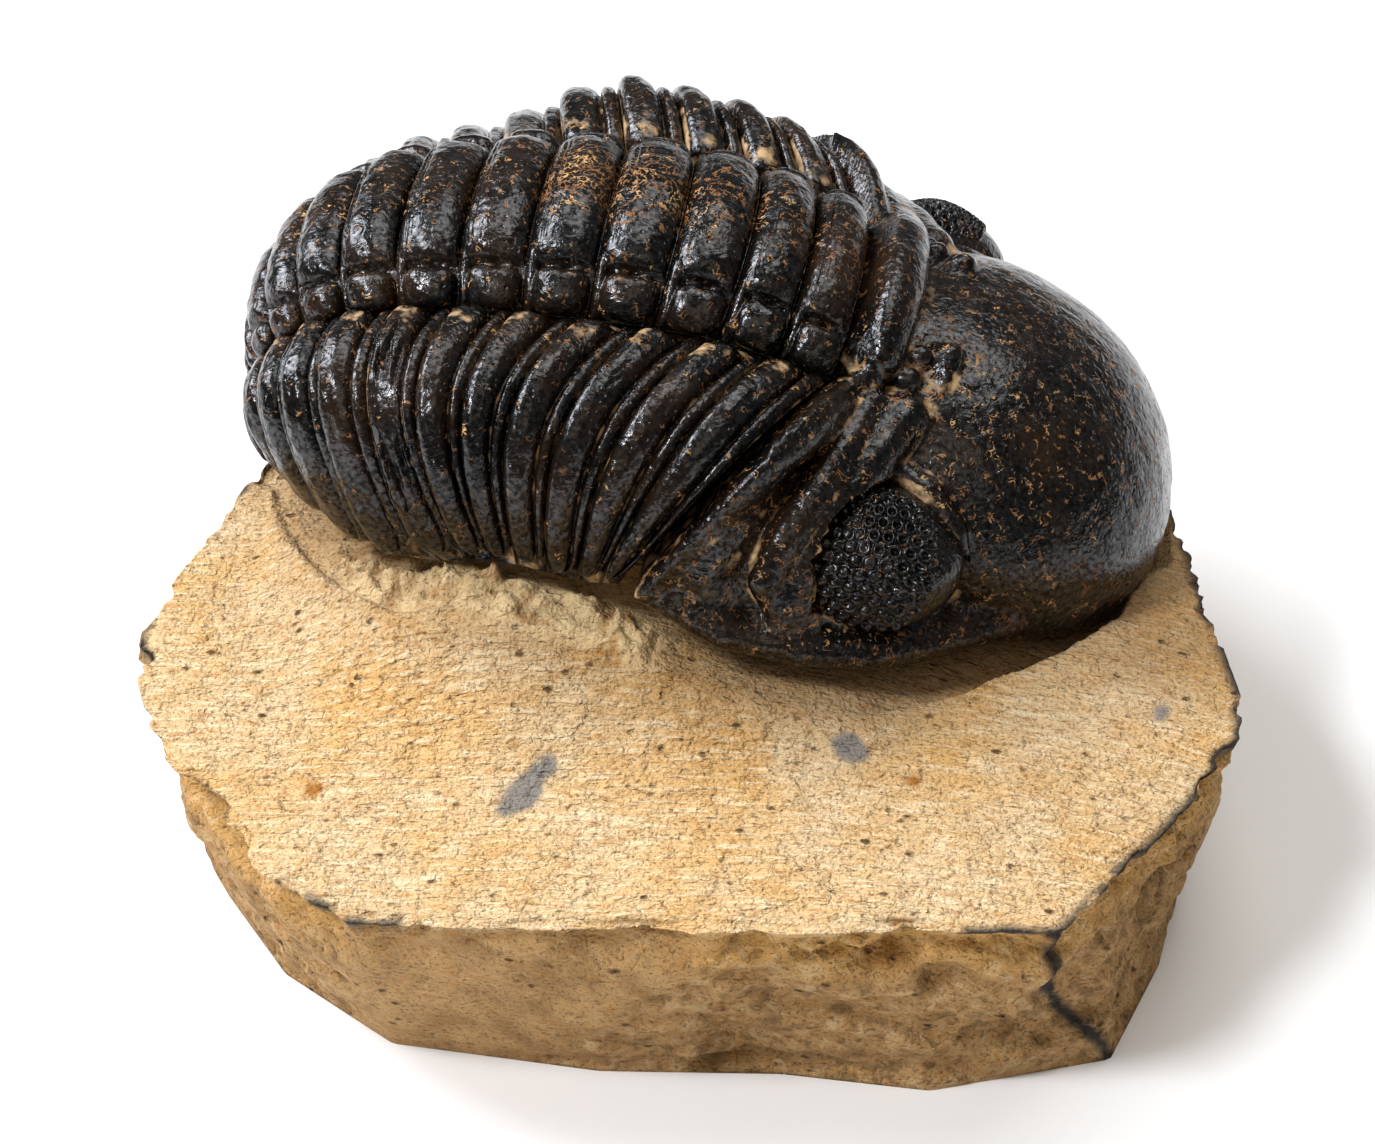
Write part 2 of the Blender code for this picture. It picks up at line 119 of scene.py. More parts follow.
# The socket is set back and up, so its groove is widest above and behind the eye.
SOCKET_CENTRE = (20.4, 23.1, 36.4)
SOCKET_GROWTH = 0.3
NECK_CENTRE = (16.0, 0.0, 41.0)
NECK_RADII = (11.0, 12.4, 10.6)
RIDGE_PATH = (
    (19.6, 14.0, 46.6), (17.2, 20.4, 45.2), (15.3, 25.0, 43.4), (12.9, 28.6, 40.8), (11.7, 30.4, 37.6),
    (13.4, 31.0, 33.8),
)
RIDGE_RADII = (1.7, 1.9, 1.9, 1.9, 1.8, 1.5)
RIDGE_FACET = (
    (22.6, 13.6, 45.2), (20.4, 18.6, 43.9), (17.9, 23.6, 42.2), (15.2, 27.6, 39.2), (14.2, 29.6, 35.8),
    (15.2, 30.4, 32.8),
)
RIDGE_FACET_RADII = (2.3, 2.4, 2.2, 2.0, 1.8, 1.4)
BORDER_FACET = (
    (14.8, 14.6, 46.8), (11.8, 21.0, 45.7), (9.0, 25.8, 43.7), (6.6, 28.4, 40.6), (5.4, 29.5, 37.6),
    (6.8, 29.8, 34.6),
)
BORDER_FACET_RADII = (1.5, 2.0, 2.3, 2.6, 2.6, 2.2)
LID_PATH = ((22.0, 17.4, 41.9), (25.4, 18.9, 40.2), (28.3, 21.0, 37.6), (29.5, 22.3, 35.6))
LID_RADII = (1.2, 1.7, 1.4, 0.6)
MARGIN_PATH = (
    (-0.8, 31.0, 36.4), (7.7, 32.4, 32.6), (15.2, 31.6, 30.6), (22.0, 29.6, 29.2),
    (30.0, 23.5, 27.0), (38.8, 15.0, 24.6), (44.6, 7.0, 23.4), (46.2, 0.0, 23.2),
)
MARGIN_RADII = (1.2, 1.5, 1.6, 1.6, 1.5, 1.4, 1.4, 1.4)
# Knobs of broken rock and shell between the neck ring and the glabella: centre and radii.
NECK_KNOBS = (
    ((22.4, 10.6, 47.2), (1.6, 1.5, 1.5)), ((21.6, 12.6, 45.6), (1.4, 1.4, 1.5)),
    ((24.0, 12.4, 45.2), (1.2, 1.3, 1.2)), ((23.4, 8.4, 48.4), (1.5, 1.3, 1.3)),
)
NECK_BAR = ((26.4, 7.4, 48.2), (26.0, 9.6, 46.8), (25.4, 12.4, 44.4))
NECK_BAR_RADII = (1.3, 1.2, 0.9)
# The middle of the eye's face, as a direction from the eye's centre, with Y outwards.
EYE_FACE = (-0.05, 0.80, 0.60)
BELLY_HEIGHT = 33.4
BELLY_SLOPE = 0.3
HEAD_MIDDLE = (10.0, 0.0, 37.0)

# The stone: the corners of its top edge and of its foot, seen from above.
STONE_MIDDLE = (3.0, -15.0)
TOP_CORNERS = (
    (-49.8, -34.1, 25.5), (-44.3, -46.6, 24.5), (-31.1, -61.4, 23.5), (-21.8, -66.2, 23.0),
    (9.1, -64.0, 23.5), (42.4, -58.8, 23.5), (52.7, -40.9, 23.5), (57.3, -31.0, 24.0),
    (57.0, -24.5, 23.5), (50.0, 3.0, 21.5), (42.0, 21.0, 21.5), (22.0, 34.5, 23.0),
    (-14.0, 35.0, 26.0), (-36.0, 15.0, 28.0), (-42.0, -8.0, 28.5),
)
FOOT_CORNERS = (
    (-44.0, -30.0), (-40.0, -41.0), (-32.0, -51.0), (-20.0, -58.6), (0.0, -59.4), (17.0, -57.4),
    (31.0, -57.6), (47.5, -51.2), (51.4, -38.0), (52.6, -26.0), (45.0, 0.0), (36.0, 20.0),
    (18.0, 30.0), (-14.0, 30.0), (-34.0, 8.0), (-40.0, -14.0),
)
MOUND_HEIGHT = 33.0
TAIL_EDGE = -40.0
# The rounded top edge lies this far inside its corners.
EDGE_INSET = 0.22
# The front is the part of the sides beyond this Y. A hollow in it: its X, its Z and its radius.
FRONT_EDGE = -45.0
FRONT_HOLLOW = (32.5, 16.0, 2.8)
# Bearings of the front's right corner at its top and at its foot, in radians.
RIGHT_CORNER = (-0.838, -0.683)
# Stains on the stone's top: place, radii and turn in degrees.
GREY_SPOTS = (
    ((-8.6, -47.6), (1.5, 4.2), -28.0), ((20.6, -38.0), (1.7, 1.6), 0.0), ((49.4, -28.8), (0.9, 1.7), -10.0),
)
RUST_SPOTS = (((-28.0, -50.0), (0.9, 0.9), 0.0), ((27.0, -41.0), (0.7, 0.7), 0.0))

# The stage. Softboxes: bearing and elevation in degrees, distance and side in metres, and tint.
CAMERA_TARGET = (0.0, 0.0, 12.0)
SOFTBOXES = {
    "key_softbox": (-112.0, 42.0, 0.75, 0.40, "F2F6FF"),
    "top_softbox": (160.0, 66.0, 0.85, 0.60, "FFFFFF"),
    "left_strip": (-52.0, 52.0, 0.70, 0.16, "F4F8FF"),
    "front_fill": (10.0, 50.0, 1.10, 0.80, "FFEFDC"),
}


def linear(code):
    """An sRGB hex colour as linear red, green, blue and alpha."""
    levels = [int(code[i : i + 2], 16) / 255 for i in (0, 2, 4)]
    return tuple(v / 12.92 if v <= 0.04045 else ((v + 0.055) / 1.055) ** 2.4 for v in levels) + (1.0,)


class FossilSizes(bpy.types.PropertyGroup):
    """Sizes of the relief on the plates, the eyes and the stone."""

    ring_height: FloatProperty(
        name="Ring height", description="How far an axial ring stands over the joints",
        default=2.32 * MM, min=0.0, unit="LENGTH",
    )
    node_height: FloatProperty(
        name="Node height", description="How far the knob at each end of a ring stands out",
        default=2.3 * MM, min=0.0, unit="LENGTH",
    )
    band_height: FloatProperty(
        name="Band height", description="How far the flank's bands stand over the seams",
        default=1.9 * MM, min=0.0, unit="LENGTH",
    )
    wrinkle_depth: FloatProperty(
        name="Wrinkle depth", description="Depth of the uneven surface on the plates",
        default=0.16 * MM, min=0.0, unit="LENGTH",
    )
    lens_pitch: FloatProperty(
        name="Lens pitch", description="Distance from one eye lens to the next",
        default=1.72 * MM, min=0.2 * MM, unit="LENGTH",
    )
    lens_height: FloatProperty(
        name="Lens height", description="How far a lens stands out of the eye",
        default=0.62 * MM, min=0.0, unit="LENGTH",
    )
    chip_depth: FloatProperty(
        name="Chip depth", description="How deep the stone's edges are chipped",
        default=2.7 * MM, min=0.0, unit="LENGTH",
    )


def colour_property(name, description, code):
    """A colour that a user may change, given as sRGB hex."""
    return FloatVectorProperty(
        name=name, description=description, default=linear(code), min=0.0, max=1.0, size=4, subtype="COLOR"
    )


class FossilColours(bpy.types.PropertyGroup):
    """Colours of the finishes."""

    shell: colour_property("Shell", "Black calcite of the plates", "080706")
    shell_warm: colour_property("Warm shell", "Brownish patches in the black calcite", "2C1D10")
    fleck: colour_property("Fleck", "Ochre flecks in the plates' pores", "7C5027")
    fleck_light: colour_property("Light fleck", "The palest of the flecks", "C0935C")
    residue: colour_property("Residue", "Rock left in the seams", "B3936A")
    residue_dark: colour_property("Dark residue", "Rock stained dark in the seams", "5E4428")
    cream: colour_property("Cream limestone", "Sanded stone on the block's top", "CCAF84")
    ochre: colour_property("Ochre limestone", "Iron stain in the stone", "C99A57")
    side: colour_property("Side limestone", "Broken stone on the block's sides", "B99361")
    side_dark: colour_property("Dark side", "Darker patches of the broken stone", "8E6C42")
    # Painted light on the broken sides: glint is a painted highlight on crystal faces, shade is painted shade
    # in hollows.
    glint: colour_property("Glint", "Fresh crystals in the broken stone", "D8BE92")
    shade: colour_property("Shade", "Hollows in the broken stone", "6B5234")
    grain: colour_property("Grain", "Short grains in the sanded stone", "A9763A")
    scratch: colour_property("Scratch", "Pale lines left by the grit", "E8D5B0")
    pit: colour_property("Pit", "Shade in the stone's pores", "5A3F20")
    # Painted shadow: a warm brown laid on the stone's top beside the trilobite and ahead of its head, where
    # its shadow falls.
    grime: colour_property("Grime", "Stain on the stone beside the trilobite", "8A6232")
    chalk: colour_property("Chalk", "Pale rubble under the flanks", "D9BC8C")
    crust: colour_property("Crust", "Dark grey crust on the stone's edges", "35302B")
    grey_spot: colour_property("Grey spot", "Grey stains on the stone's top", "7C746A")
    rust_spot: colour_property("Rust spot", "Rusty stains on the stone's top", "9A6424")
    floor: colour_property("Floor", "Pale paper below the block", "F4F3F1")


class FossilStage(bpy.types.PropertyGroup):
    """Camera and lights."""

    azimuth: FloatProperty(
        name="Azimuth", description="Camera's bearing round the block",
        default=math.radians(8.0), subtype="ANGLE",
    )
    elevation: FloatProperty(
        name="Elevation", description="Camera's height above the horizon",
        default=math.radians(40.0), subtype="ANGLE",
    )
    distance: FloatProperty(
        name="Distance", description="Camera's distance from the block",
        default=433.0 * MM, min=0.05, unit="LENGTH",
    )
    lens: FloatProperty(name="Lens", description="Focal length", default=110.0, min=10.0, unit="CAMERA")
    key_softbox: FloatProperty(
        name="Key", description="Power of the left softbox", default=7.6, min=0.0, unit="POWER"
    )
    top_softbox: FloatProperty(
        name="Top", description="Power of the overhead softbox", default=3.8, min=0.0, unit="POWER"
    )
    left_strip: FloatProperty(
        name="Strip", description="Power of the left strip", default=4.0, min=0.0, unit="POWER"
    )
    front_fill: FloatProperty(
        name="Fill", description="Power of the front fill", default=1.6, min=0.0, unit="POWER"
    )
    sky: FloatProperty(name="Sky", description="Strength of the even light all round", default=0.17, min=0.0)
    floor_size: FloatProperty(
        name="Floor size", description="Side of the paper", default=4.0, min=0.5, unit="LENGTH"
    )


def smooth_curve(at, knots, values):
    """A cubic through the values with slopes taken from the neighbouring knots."""
    knots = np.asarray(knots, float)
    values = np.asarray(values, float)
    slopes = np.gradient(values, knots)
    i = np.clip(np.searchsorted(knots, at) - 1, 0, len(knots) - 2)
    width = knots[i + 1] - knots[i]
    t = (at - knots[i]) / width
    first = (2 * t**3 - 3 * t**2 + 1) * values[i] + (t**3 - 2 * t**2 + t) * width * slopes[i]
    last = (-2 * t**3 + 3 * t**2) * values[i + 1] + (t**3 - t**2) * width * slopes[i + 1]
    return first + last


def guide(at, *curves):
    """Places on some guide curves at a station."""
    return np.stack([smooth_curve(at, STATIONS, c) for c in curves], -1)


def smooth_step(low, high, x):
    t = np.clip((x - low) / (high - low), 0.0, 1.0)
    return t * t * (3 - 2 * t)


def bump(x, middle, half):
    """A smooth hill of height 1 between middle - half and middle + half."""
    t = np.clip(np.abs(x - middle) / half, 0.0, 1.0)
    return (1 - t * t) ** 2


def roll(x, low, high, power=0.5):
    """A rounded hill of height 1 from low to high, steep at both ends."""
    t = np.clip((2 * x - low - high) / (high - low), -1.0, 1.0)
    return (1 - t * t) ** power


def slope(x, low, high, crest, power=0.5):
    """A hill of height 1 from low to high whose crest lies at this share of the way."""
    t = np.clip((x - low) / (high - low), 0.0, 1.0)
    far = np.where(t < crest, (crest - t) / crest, (t - crest) / (1 - crest))
    return (1 - far * far) ** power


def unit(vectors):
    return vectors / np.maximum(np.linalg.norm(vectors, axis=-1, keepdims=True), 1e-9)


def lumps(points, size, seed):
    """Smooth noise between -1 and 1 whose lumps have this size."""
    cells = 32
    table = np.random.default_rng(seed).uniform(-1.0, 1.0, (cells, cells, cells))
    scaled = points / size
    corner = np.floor(scaled).astype(int)
    t = scaled - corner
    t = t * t * (3 - 2 * t)
    total = np.zeros(len(points))
    for step in itertools.product((0, 1), repeat=3):
        weight = np.where(step, t, 1 - t).prod(1)
        x, y, z = ((corner + step) % cells).T
        total += weight * table[x, y, z]
    return total


def rough(points, size, seed, octaves=3):
    """Noise with finer lumps added on each octave."""
    total = np.zeros(len(points))
    for octave in range(octaves):
        total += lumps(points, size / 2**octave, seed + octave) / 2**octave
    return total


def smooth_body(station, side):
    """The body under its relief. Side is -1 at the near tips, 0 at the midline and 1 at the far tips."""
    station, side = np.broadcast_arrays(np.asarray(station, float), np.asarray(side, float))
    crest = guide(station, CREST_X, np.zeros(len(STATIONS)), CREST_Z)
    furrow = guide(station, FURROW_X, FURROW_Y, FURROW_Z)
    knee = guide(station, KNEE_X, KNEE_Y, KNEE_Z)
    apart = guide(station, FAR_KNEE_X, np.zeros(len(STATIONS)), FAR_KNEE_Z) * (station > 0)[..., None]
    knee = knee + apart * (side > LOBE_SHARE)[..., None]
    tip = guide(station, TIP_X, TIP_Y, TIP_Z)
    root = furrow * (1.0, 0.0, 1.0)
    rise = crest - root
    ring = 2.4
    rise = rise * (1 - ring / np.maximum(np.linalg.norm(rise, axis=-1, keepdims=True), ring * 2))
    turn = (np.minimum(np.abs(side) / LOBE_SHARE, 1.0) * np.pi / 2)[..., None]
    lobe = root + rise * np.cos(turn) + furrow * (0.0, 1.0, 0.0) * np.sin(turn)
    t = np.clip((np.abs(side) - LOBE_SHARE) / (1 - LOBE_SHARE), 0.0, 1.0)[..., None]
    corner = (knee - 0.21875 * (furrow + tip)) / 0.5625
    inner = furrow + 0.75 * (corner - furrow)
    outer = tip + 0.75 * (corner - tip)
    flank = (1 - t) ** 3 * furrow + 3 * (1 - t) ** 2 * t * inner + 3 * (1 - t) * t * t * outer + t**3 * tip
    place = np.where(np.abs(side)[..., None] < LOBE_SHARE, lobe, flank)
    return place * np.stack([np.ones_like(side), np.where(side < 0, -1.0, 1.0), np.ones_like(side)], -1)


def body_normal(station, side):
    """The smooth body's outward direction."""
    step = 0.03
    low = np.clip(side - step, -1.0, 1.0)
    high = np.clip(side + step, -1.0, 1.0)
    across = smooth_body(station, high) - smooth_body(station, low)
    along = smooth_body(station + step, side) - smooth_body(station - step, side)
    return unit(np.cross(across, along))


def belly(station, side):
    """The underside below a point of the smooth body, drawn in at the tail so that the joints run inwards."""
    station = np.asarray(station, float)
    foot = guide(station, BELLY_X, TIP_Y, TIP_Z)
    knee = guide(station, KNEE_Y)
    over = smooth_body(station, side)
    foot, over = np.broadcast_arrays(foot, over)
    drawn = np.minimum(1.0, foot[..., 1] / (1.08 * knee[..., 0]))
    drawn = drawn * (1 - 0.35 * smooth_step(7.0, 11.0, station))
    return np.stack([foot[..., 0], over[..., 1] * drawn, foot[..., 2] - PLATE_THICKNESS], -1)


def inset_station(station, side, shift, surface):
    """Moves an end station inwards by half the joint gap, whatever the local spacing is."""
    step = 0.05
    move = surface(station + step, side) - surface(station - step, side)
    spacing = np.linalg.norm(move, axis=-1) / (2 * step)
    return station + shift * 0.5 * JOINT_GAP / np.maximum(spacing, 0.6)


def scaled(grid):
    """Columns and rows of a grid for the full mesh or for a quick trial."""
    return [int(count * DETAIL) for count in grid]


def grid_ball(columns, rows):
    """A closed ball, and for each vertex its column and row. Row 0 and the last row are the poles."""
    ball = bmesh.new()
    bmesh.ops.create_uvsphere(ball, u_segments=columns, v_segments=rows, radius=1.0)
    points = np.array([v.co for v in ball.verts])
    row = np.rint(np.arccos(np.clip(points[:, 2], -1, 1)) / np.pi * rows).astype(int)
    column = np.rint(np.arctan2(points[:, 1], points[:, 0]) / (2 * np.pi) * columns).astype(int) % columns
    return ball, points, column, row


def finish_piece(name, ball, places, masks, material, node):
    """Moves a ball's vertices to their places and makes it the piece that stands for this node."""
    for vertex, place in zip(ball.verts, (places + FRAME_SHIFT) * MM):
        vertex.co = place
    if ball.calc_volume(signed=True) < 0:
        bmesh.ops.reverse_faces(ball, faces=ball.faces[:])
    mesh = bpy.data.meshes.new(name)
    ball.to_mesh(mesh)
    ball.free()
    for mask, values in masks.items():
        attribute = mesh.attributes.new(mask, "FLOAT", "POINT")
        attribute.data.foreach_set("value", np.asarray(values, np.float32))
    mesh.materials.append(material)
    mesh.shade_smooth()
    piece = bpy.data.objects.new(name, mesh)
    bpy.context.scene.collection.objects.link(piece)
    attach(piece, "root")
    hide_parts(node)
    return piece


def plate_grid(column, row, columns, rows):
    """Share along the plate and side across it for each vertex, and which vertices close the belly."""
    top = columns - 2
    along = np.clip(column / (top - 1), 0.0, 1.0)
    share = 0.35 * along + 0.65 * (0.5 - 0.5 * np.cos(np.pi * along))
    share = np.where(column < top, share, np.where(column == top, 1.0, 0.0))
    across = row / rows
    side = 0.75 * (2 * across - 1) - 0.25 * np.cos(np.pi * across)
    return share, side, column >= top


def plate_places(share, side, under, start, end, height_of):
    """Places of a plate's vertices. The tips are rounded off where the side nears 1."""
    closing = np.clip((np.abs(side) - TIP_ROUNDING) / (1 - TIP_ROUNDING), 0.0, 1.0)
    middle = 0.62
    narrowed = middle + (share - middle) * np.sqrt(1 - closing**2)
    station = start + (end - start) * np.where(under, share, narrowed)
    ends = np.where(share <= 0, 1.0, np.where(share >= 1, -1.0, 0.0))
    upper = inset_station(station, side, ends, smooth_body)
    lower = inset_station(station, side, ends, belly)
    base = smooth_body(upper, side)
    places = base + body_normal(upper, side) * height_of(base)[:, None]
    return np.where(under[:, None], belly(lower, side), places)


def ring_profile(share, reach, vary):
    """The axial ring, one wide bulge with a low hem behind it, and the depth of its shallow grooves."""
    ring = slope(share, 0.035, 0.985, 0.56 + 0.04 * vary[5], 0.46)
    ring = ring * (1 - np.clip(reach / RING_END, 0, 1) ** 9) ** 0.5
    hem = 0.5 * roll(share, 0.80, 0.995, 0.5) * (1 - smooth_step(0.97, 1.02, reach))
    depth = 0.22 + 0.14 * vary[1]
    grooves = depth * bump(share, 0.80, 0.035) + 0.5 * depth * bump(share, 0.73, 0.02)
    return np.maximum(ring, hem), grooves * (1 - smooth_step(0.25, 0.52, reach))


def knob_profile(share, reach):
    """The squarish knob at the ring's end, with a notch in its upper edge."""
    across = (reach - KNOB_MIDDLE[0]) / KNOB_HALF[0]
    along = (share - KNOB_MIDDLE[1]) / KNOB_HALF[1]
    notch = 0.35 * bump(along, -0.1, 0.5) * smooth_step(-0.5, -1.0, across)
    return np.clip(1 - np.abs(across) ** 3.2 - np.abs(along) ** 3.0 - notch, 0, 1) ** 0.5


def flank_bands(share, side, reach, flank, vary):
    """The flank's broad band, squared at its inner end, and the narrow one that lies lower in front of it."""
    split = BAND_SPLIT - 0.03 * smooth_step(0.4, 1.0, flank)
    tip = np.clip((np.abs(side) - 0.9) / 0.1, 0, 1)
    broad = slope(share, split + 0.02, 0.985, 0.66, 0.40) * (1 - tip**3) ** 0.5
    broad = broad * smooth_step(1.045, 1.10, reach)
    lean = 0.12 * np.sin(np.pi * flank) * (share - 0.65)
    ripple = 0.02 * np.sin(24.0 * share + 5.0 * flank + 4.0 * vary[2]) * smooth_step(0.06, 0.2, flank)
    broad = broad * (1 + lean + ripple + 0.06 * vary[3] * np.sin(7.0 * flank + 6.0 * vary[4]))
    narrow = 0.56 * slope(share, 0.02, split - 0.02, 0.6, 0.5) * (1 - tip**2) ** 0.5
    narrow = narrow * smooth_step(0.99, 1.07, reach)
    return np.maximum(broad, narrow) * (1 - 0.3 * flank)


def left_of_break(share, side, flank):
    """What is left of the bands' height where the near flank is broken, with ragged edges."""
    ragged = 0.08 * np.sin(23.0 * share) + 0.05 * np.sin(61.0 * share + 1.0)
    gone = smooth_step(0.26, 0.32, flank + ragged) * smooth_step(0.80, 0.72, flank - ragged) * (side < 0)
    return 1 - 0.55 * gone * smooth_step(0.30, 0.42, share)


def segment_relief(share, side, number, sizes):
    """Height of a thorax plate over the smooth body, and its masks of residue and flecks."""
    reach = np.abs(side) / LOBE_SHARE
    flank = np.clip((np.abs(side) - LOBE_SHARE) / (1 - LOBE_SHARE), 0.0, 1.0)
    vary = np.random.default_rng(number).uniform(-1.0, 1.0, 6)
    share = share + 0.02 * vary[0] * np.sin(5.0 * side + 3.0 * vary[1]) * np.sin(np.pi * share)
    ring, grooves = ring_profile(share, reach, vary)
    bands = flank_bands(share, side, reach, flank, vary)
    if number == BROKEN_PLATE:
        bands = bands * left_of_break(share, side, flank)
    height = np.maximum(sizes.ring_height * ring, sizes.node_height * knob_profile(share, reach))
    height = np.maximum(height, sizes.band_height * bands) / MM - grooves
    # Rock is left in the seams, on the worn inner ends of the bands and along their rear edges.
    seam = 1 - smooth_step(0.1, 0.9, height)
    on_flank = smooth_step(1.0, 1.06, reach)
    worn_top = bump(reach, 1.16, 0.2) * smooth_step(0.35, 0.5, share)
    rear_edge = bump(share, 0.965, 0.03) * on_flank * (0.3 + 0.35 * np.sin(9.0 * flank + 5.0 * vary[5]))
    residue = np.clip(seam * (0.36 + 0.26 * on_flank) + 0.64 * worn_top + rear_edge, 0, 1)
    worn_ring = WORN_RINGS.get(number, WORN_ELSEWHERE)
    fleck = 0.1 + worn_ring * (1 - smooth_step(0.0, 0.4, reach)) + 0.25 * bump(flank, 0.12, 0.2)
    # The last plates are lower.
    return height * (0.78 + 0.22 * smooth_step(11.0, 7.0, float(number))), residue, fleck


def make_segment(number, sizes, material):
    """One plate of the thorax, from flank to flank."""
    columns, rows = scaled(SEGMENT_GRID)
    ball, _, column, row = grid_ball(columns, rows)
    share, side, under = plate_grid(column, row, columns, rows)
    height, residue, fleck = segment_relief(share, side, number, sizes)
    wrinkle = sizes.wrinkle_depth / MM
    tops = np.clip(height / 1.2, 0, 1)

    def height_of(base):
        uneven = rough(base, 5.0, 20 + number, 3) + 0.6 * rough(base, 1.3, 40, 2)
        return height + wrinkle * uneven * tops

    start = float(number - 1)
    places = plate_places(share, side, under, start, start + 1.0, height_of)
    masks = {"residue": residue, "fleck": fleck}
    name = f"segment_shell_{number:02d}"
    node = f"thoracic_segment_{number:02d}"
    return finish_piece(name, ball, places, masks, material, node)


def make_tail(sizes, material):
    """The tail shield: low rings along its middle and ribs down its flanks."""
    columns, rows = scaled(TAIL_GRID)
    ball, _, column, row = grid_ball(columns, rows)
    share, side, under = plate_grid(column, row, columns, rows)
    reach = np.abs(side) / LOBE_SHARE
    phase = share * TAIL_RINGS
    part = phase - np.floor(phase)
    fade = (1 - smooth_step(0.75, 1.0, share)) * smooth_step(0.0, 0.02, share)
    ring = 1.7 * roll(part, 0.04, 0.96, 0.5) * (1 - np.clip(reach / 0.78, 0, 1) ** 8) ** 0.5
    node = 1.1 * roll(part, 0.1, 0.9, 0.5) * np.clip(1 - np.abs((reach - 0.88) / 0.12) ** 2.5, 0, 1) ** 0.5
    ribs = 1.3 * roll((part * 2) % 1.0, 0.04, 0.96, 0.5) * smooth_step(1.03, 1.12, reach)
    tip = 1 - smooth_step(0.9, 1.0, np.abs(side))
    height = np.maximum(np.maximum(ring, node), ribs * tip) * fade
    seam = 1 - smooth_step(0.05, 0.5, height)
    masks = {"residue": seam * 0.8 * fade, "fleck": 0.3 + 0 * seam}

    def height_of(base):
        return height + sizes.wrinkle_depth / MM * rough(base, 4.0, 90, 3) * fade

    places = plate_places(share, side, under, float(SEGMENTS), TAIL_END, height_of)
    return finish_piece("tail_shell", ball, places, masks, material, "pygidium")


def pitched(points, centre, pitch):
    """Coordinates about a centre, with the first axis turned down towards +X."""
    turn = np.radians(pitch)
    moved = points - centre
    first = moved[:, 0] * np.cos(turn) - moved[:, 2] * np.sin(turn)
    third = moved[:, 0] * np.sin(turn) + moved[:, 2] * np.cos(turn)
    return np.stack([first, moved[:, 1], third], 1)


def ellipsoid(points, centre, radii, pitch=0.0, power=2.0):
    """Distance to an ellipsoid, or to a fuller form where the power is over 2."""
    local = np.abs(pitched(points, np.array(centre), pitch)) / radii
    size = (local**power).sum(1) ** (1 / power)
    return (size - 1) * min(radii)


def tube(points, path, radii):
    """Distance to a chain of cones of these radii."""
    best = np.full(len(points), 1e3)
    for (a, b), (ra, rb) in zip(zip(path[:-1], path[1:]), zip(radii[:-1], radii[1:])):
        line = b - a
        t = np.clip(((points - a) @ line) / (line @ line), 0.0, 1.0)
        away = np.linalg.norm(points - a - t[:, None] * line, axis=1)
        best = np.minimum(best, away - ra - t * (rb - ra))
    return best


def melt(a, b, width):
    """The union of two distances with a fillet of this width."""
    t = np.clip(0.5 + 0.5 * (b - a) / width, 0.0, 1.0)
    return b + (a - b) * t - width * t * (1 - t)


def neck_joint():
    """Lines of the joint of head and thorax that do not change from point to point."""
    edge = smooth_body(0.0, np.linspace(0.0, 1.0, 80))
    return edge, belly(0.0, 0.5), edge[:54:-1]


def neck_sheet(points, away, joint):
    """Distance behind the joint of head and thorax."""
    edge, foot, flank = joint
    y = np.abs(points[:, 1])
    x_top = np.interp(y, edge[:, 1], edge[:, 0])
    z_top = np.interp(y, edge[:, 1], edge[:, 2])
    lean = (x_top - foot[0]) / np.maximum(z_top - foot[2], 1.5)
    reach = np.maximum(points[:, 2], foot[2]) - foot[2]
    sheet = foot[0] + np.minimum(reach * lean, x_top - foot[0] + 3.0)
    x_flank = np.interp(points[:, 2], flank[:, 2], flank[:, 0])
    y_flank = np.interp(points[:, 2], flank[:, 2], flank[:, 1])
    sheet = np.where(y > y_flank - 1.0, np.maximum(sheet, x_flank), sheet)
    wider = away * (1 + 1.2 * smooth_step(14.0, 24.0, y))
    return (sheet + wider - points[:, 0]) * 0.6


def head_lines():
    """The paths of the head's ridges and its joint, worked out once."""
    arc = np.linspace(0.0, LOBE_SHARE * 0.60, 9)
    along = np.linspace(LOBE_SHARE + 0.04, 0.97, 11)
    node = smooth_body(np.array([-0.4]), np.array([LOBE_SHARE * 0.86]))[0]
    return {
        "occipital": smooth_body(-0.52, arc) - body_normal(-0.52, arc) * 0.3,
        "node": node,
        "border": smooth_body(-0.32, along) - body_normal(-0.32, along) * 0.9,
        "joint": neck_joint(),
    }


def head_parts(p, lines):
    """Distances to the head's forms, each with the fillet that joins it to those before."""
    glabella = ellipsoid(p, GLABELLA_CENTRE, GLABELLA_RADII, HEAD_PITCH, 2.15)
    neck = ellipsoid(p, NECK_CENTRE, NECK_RADII)
    cheek = ellipsoid(p, CHEEK_CENTRE, CHEEK_RADII, CHEEK_PITCH, 3.0) + CHEEK_SINK
    occipital = tube(p, lines["occipital"], np.linspace(3.3, 3.0, 9))
    node = ellipsoid(p, lines["node"], (2.6, 2.4, 2.4))
    border = tube(p, lines["border"], np.linspace(2.2, 3.5, 11))
    ridge = tube(p, np.array(RIDGE_PATH), RIDGE_RADII)
    ridge_facet = tube(p, np.array(RIDGE_FACET), RIDGE_FACET_RADII)
    border_facet = tube(p, np.array(BORDER_FACET), BORDER_FACET_RADII)
    lid = tube(p, np.array(LID_PATH), LID_RADII)
    margin = tube(p, np.array(MARGIN_PATH), MARGIN_RADII)
    bar = tube(p, np.array(NECK_BAR), NECK_BAR_RADII)
    parts = [
        (glabella, 0.0), (neck, 1.0), (cheek, 0.2), (occipital, 0.4), (node, 0.3), (border, 0.5),
        (border_facet, 1.4), (ridge, 0.3), (ridge_facet, 1.2), (lid, 0.5), (margin, 1.6), (bar, 0.2),
    ]
    parts += [(ellipsoid(p, centre, radii), 0.2) for centre, radii in NECK_KNOBS]
    return parts


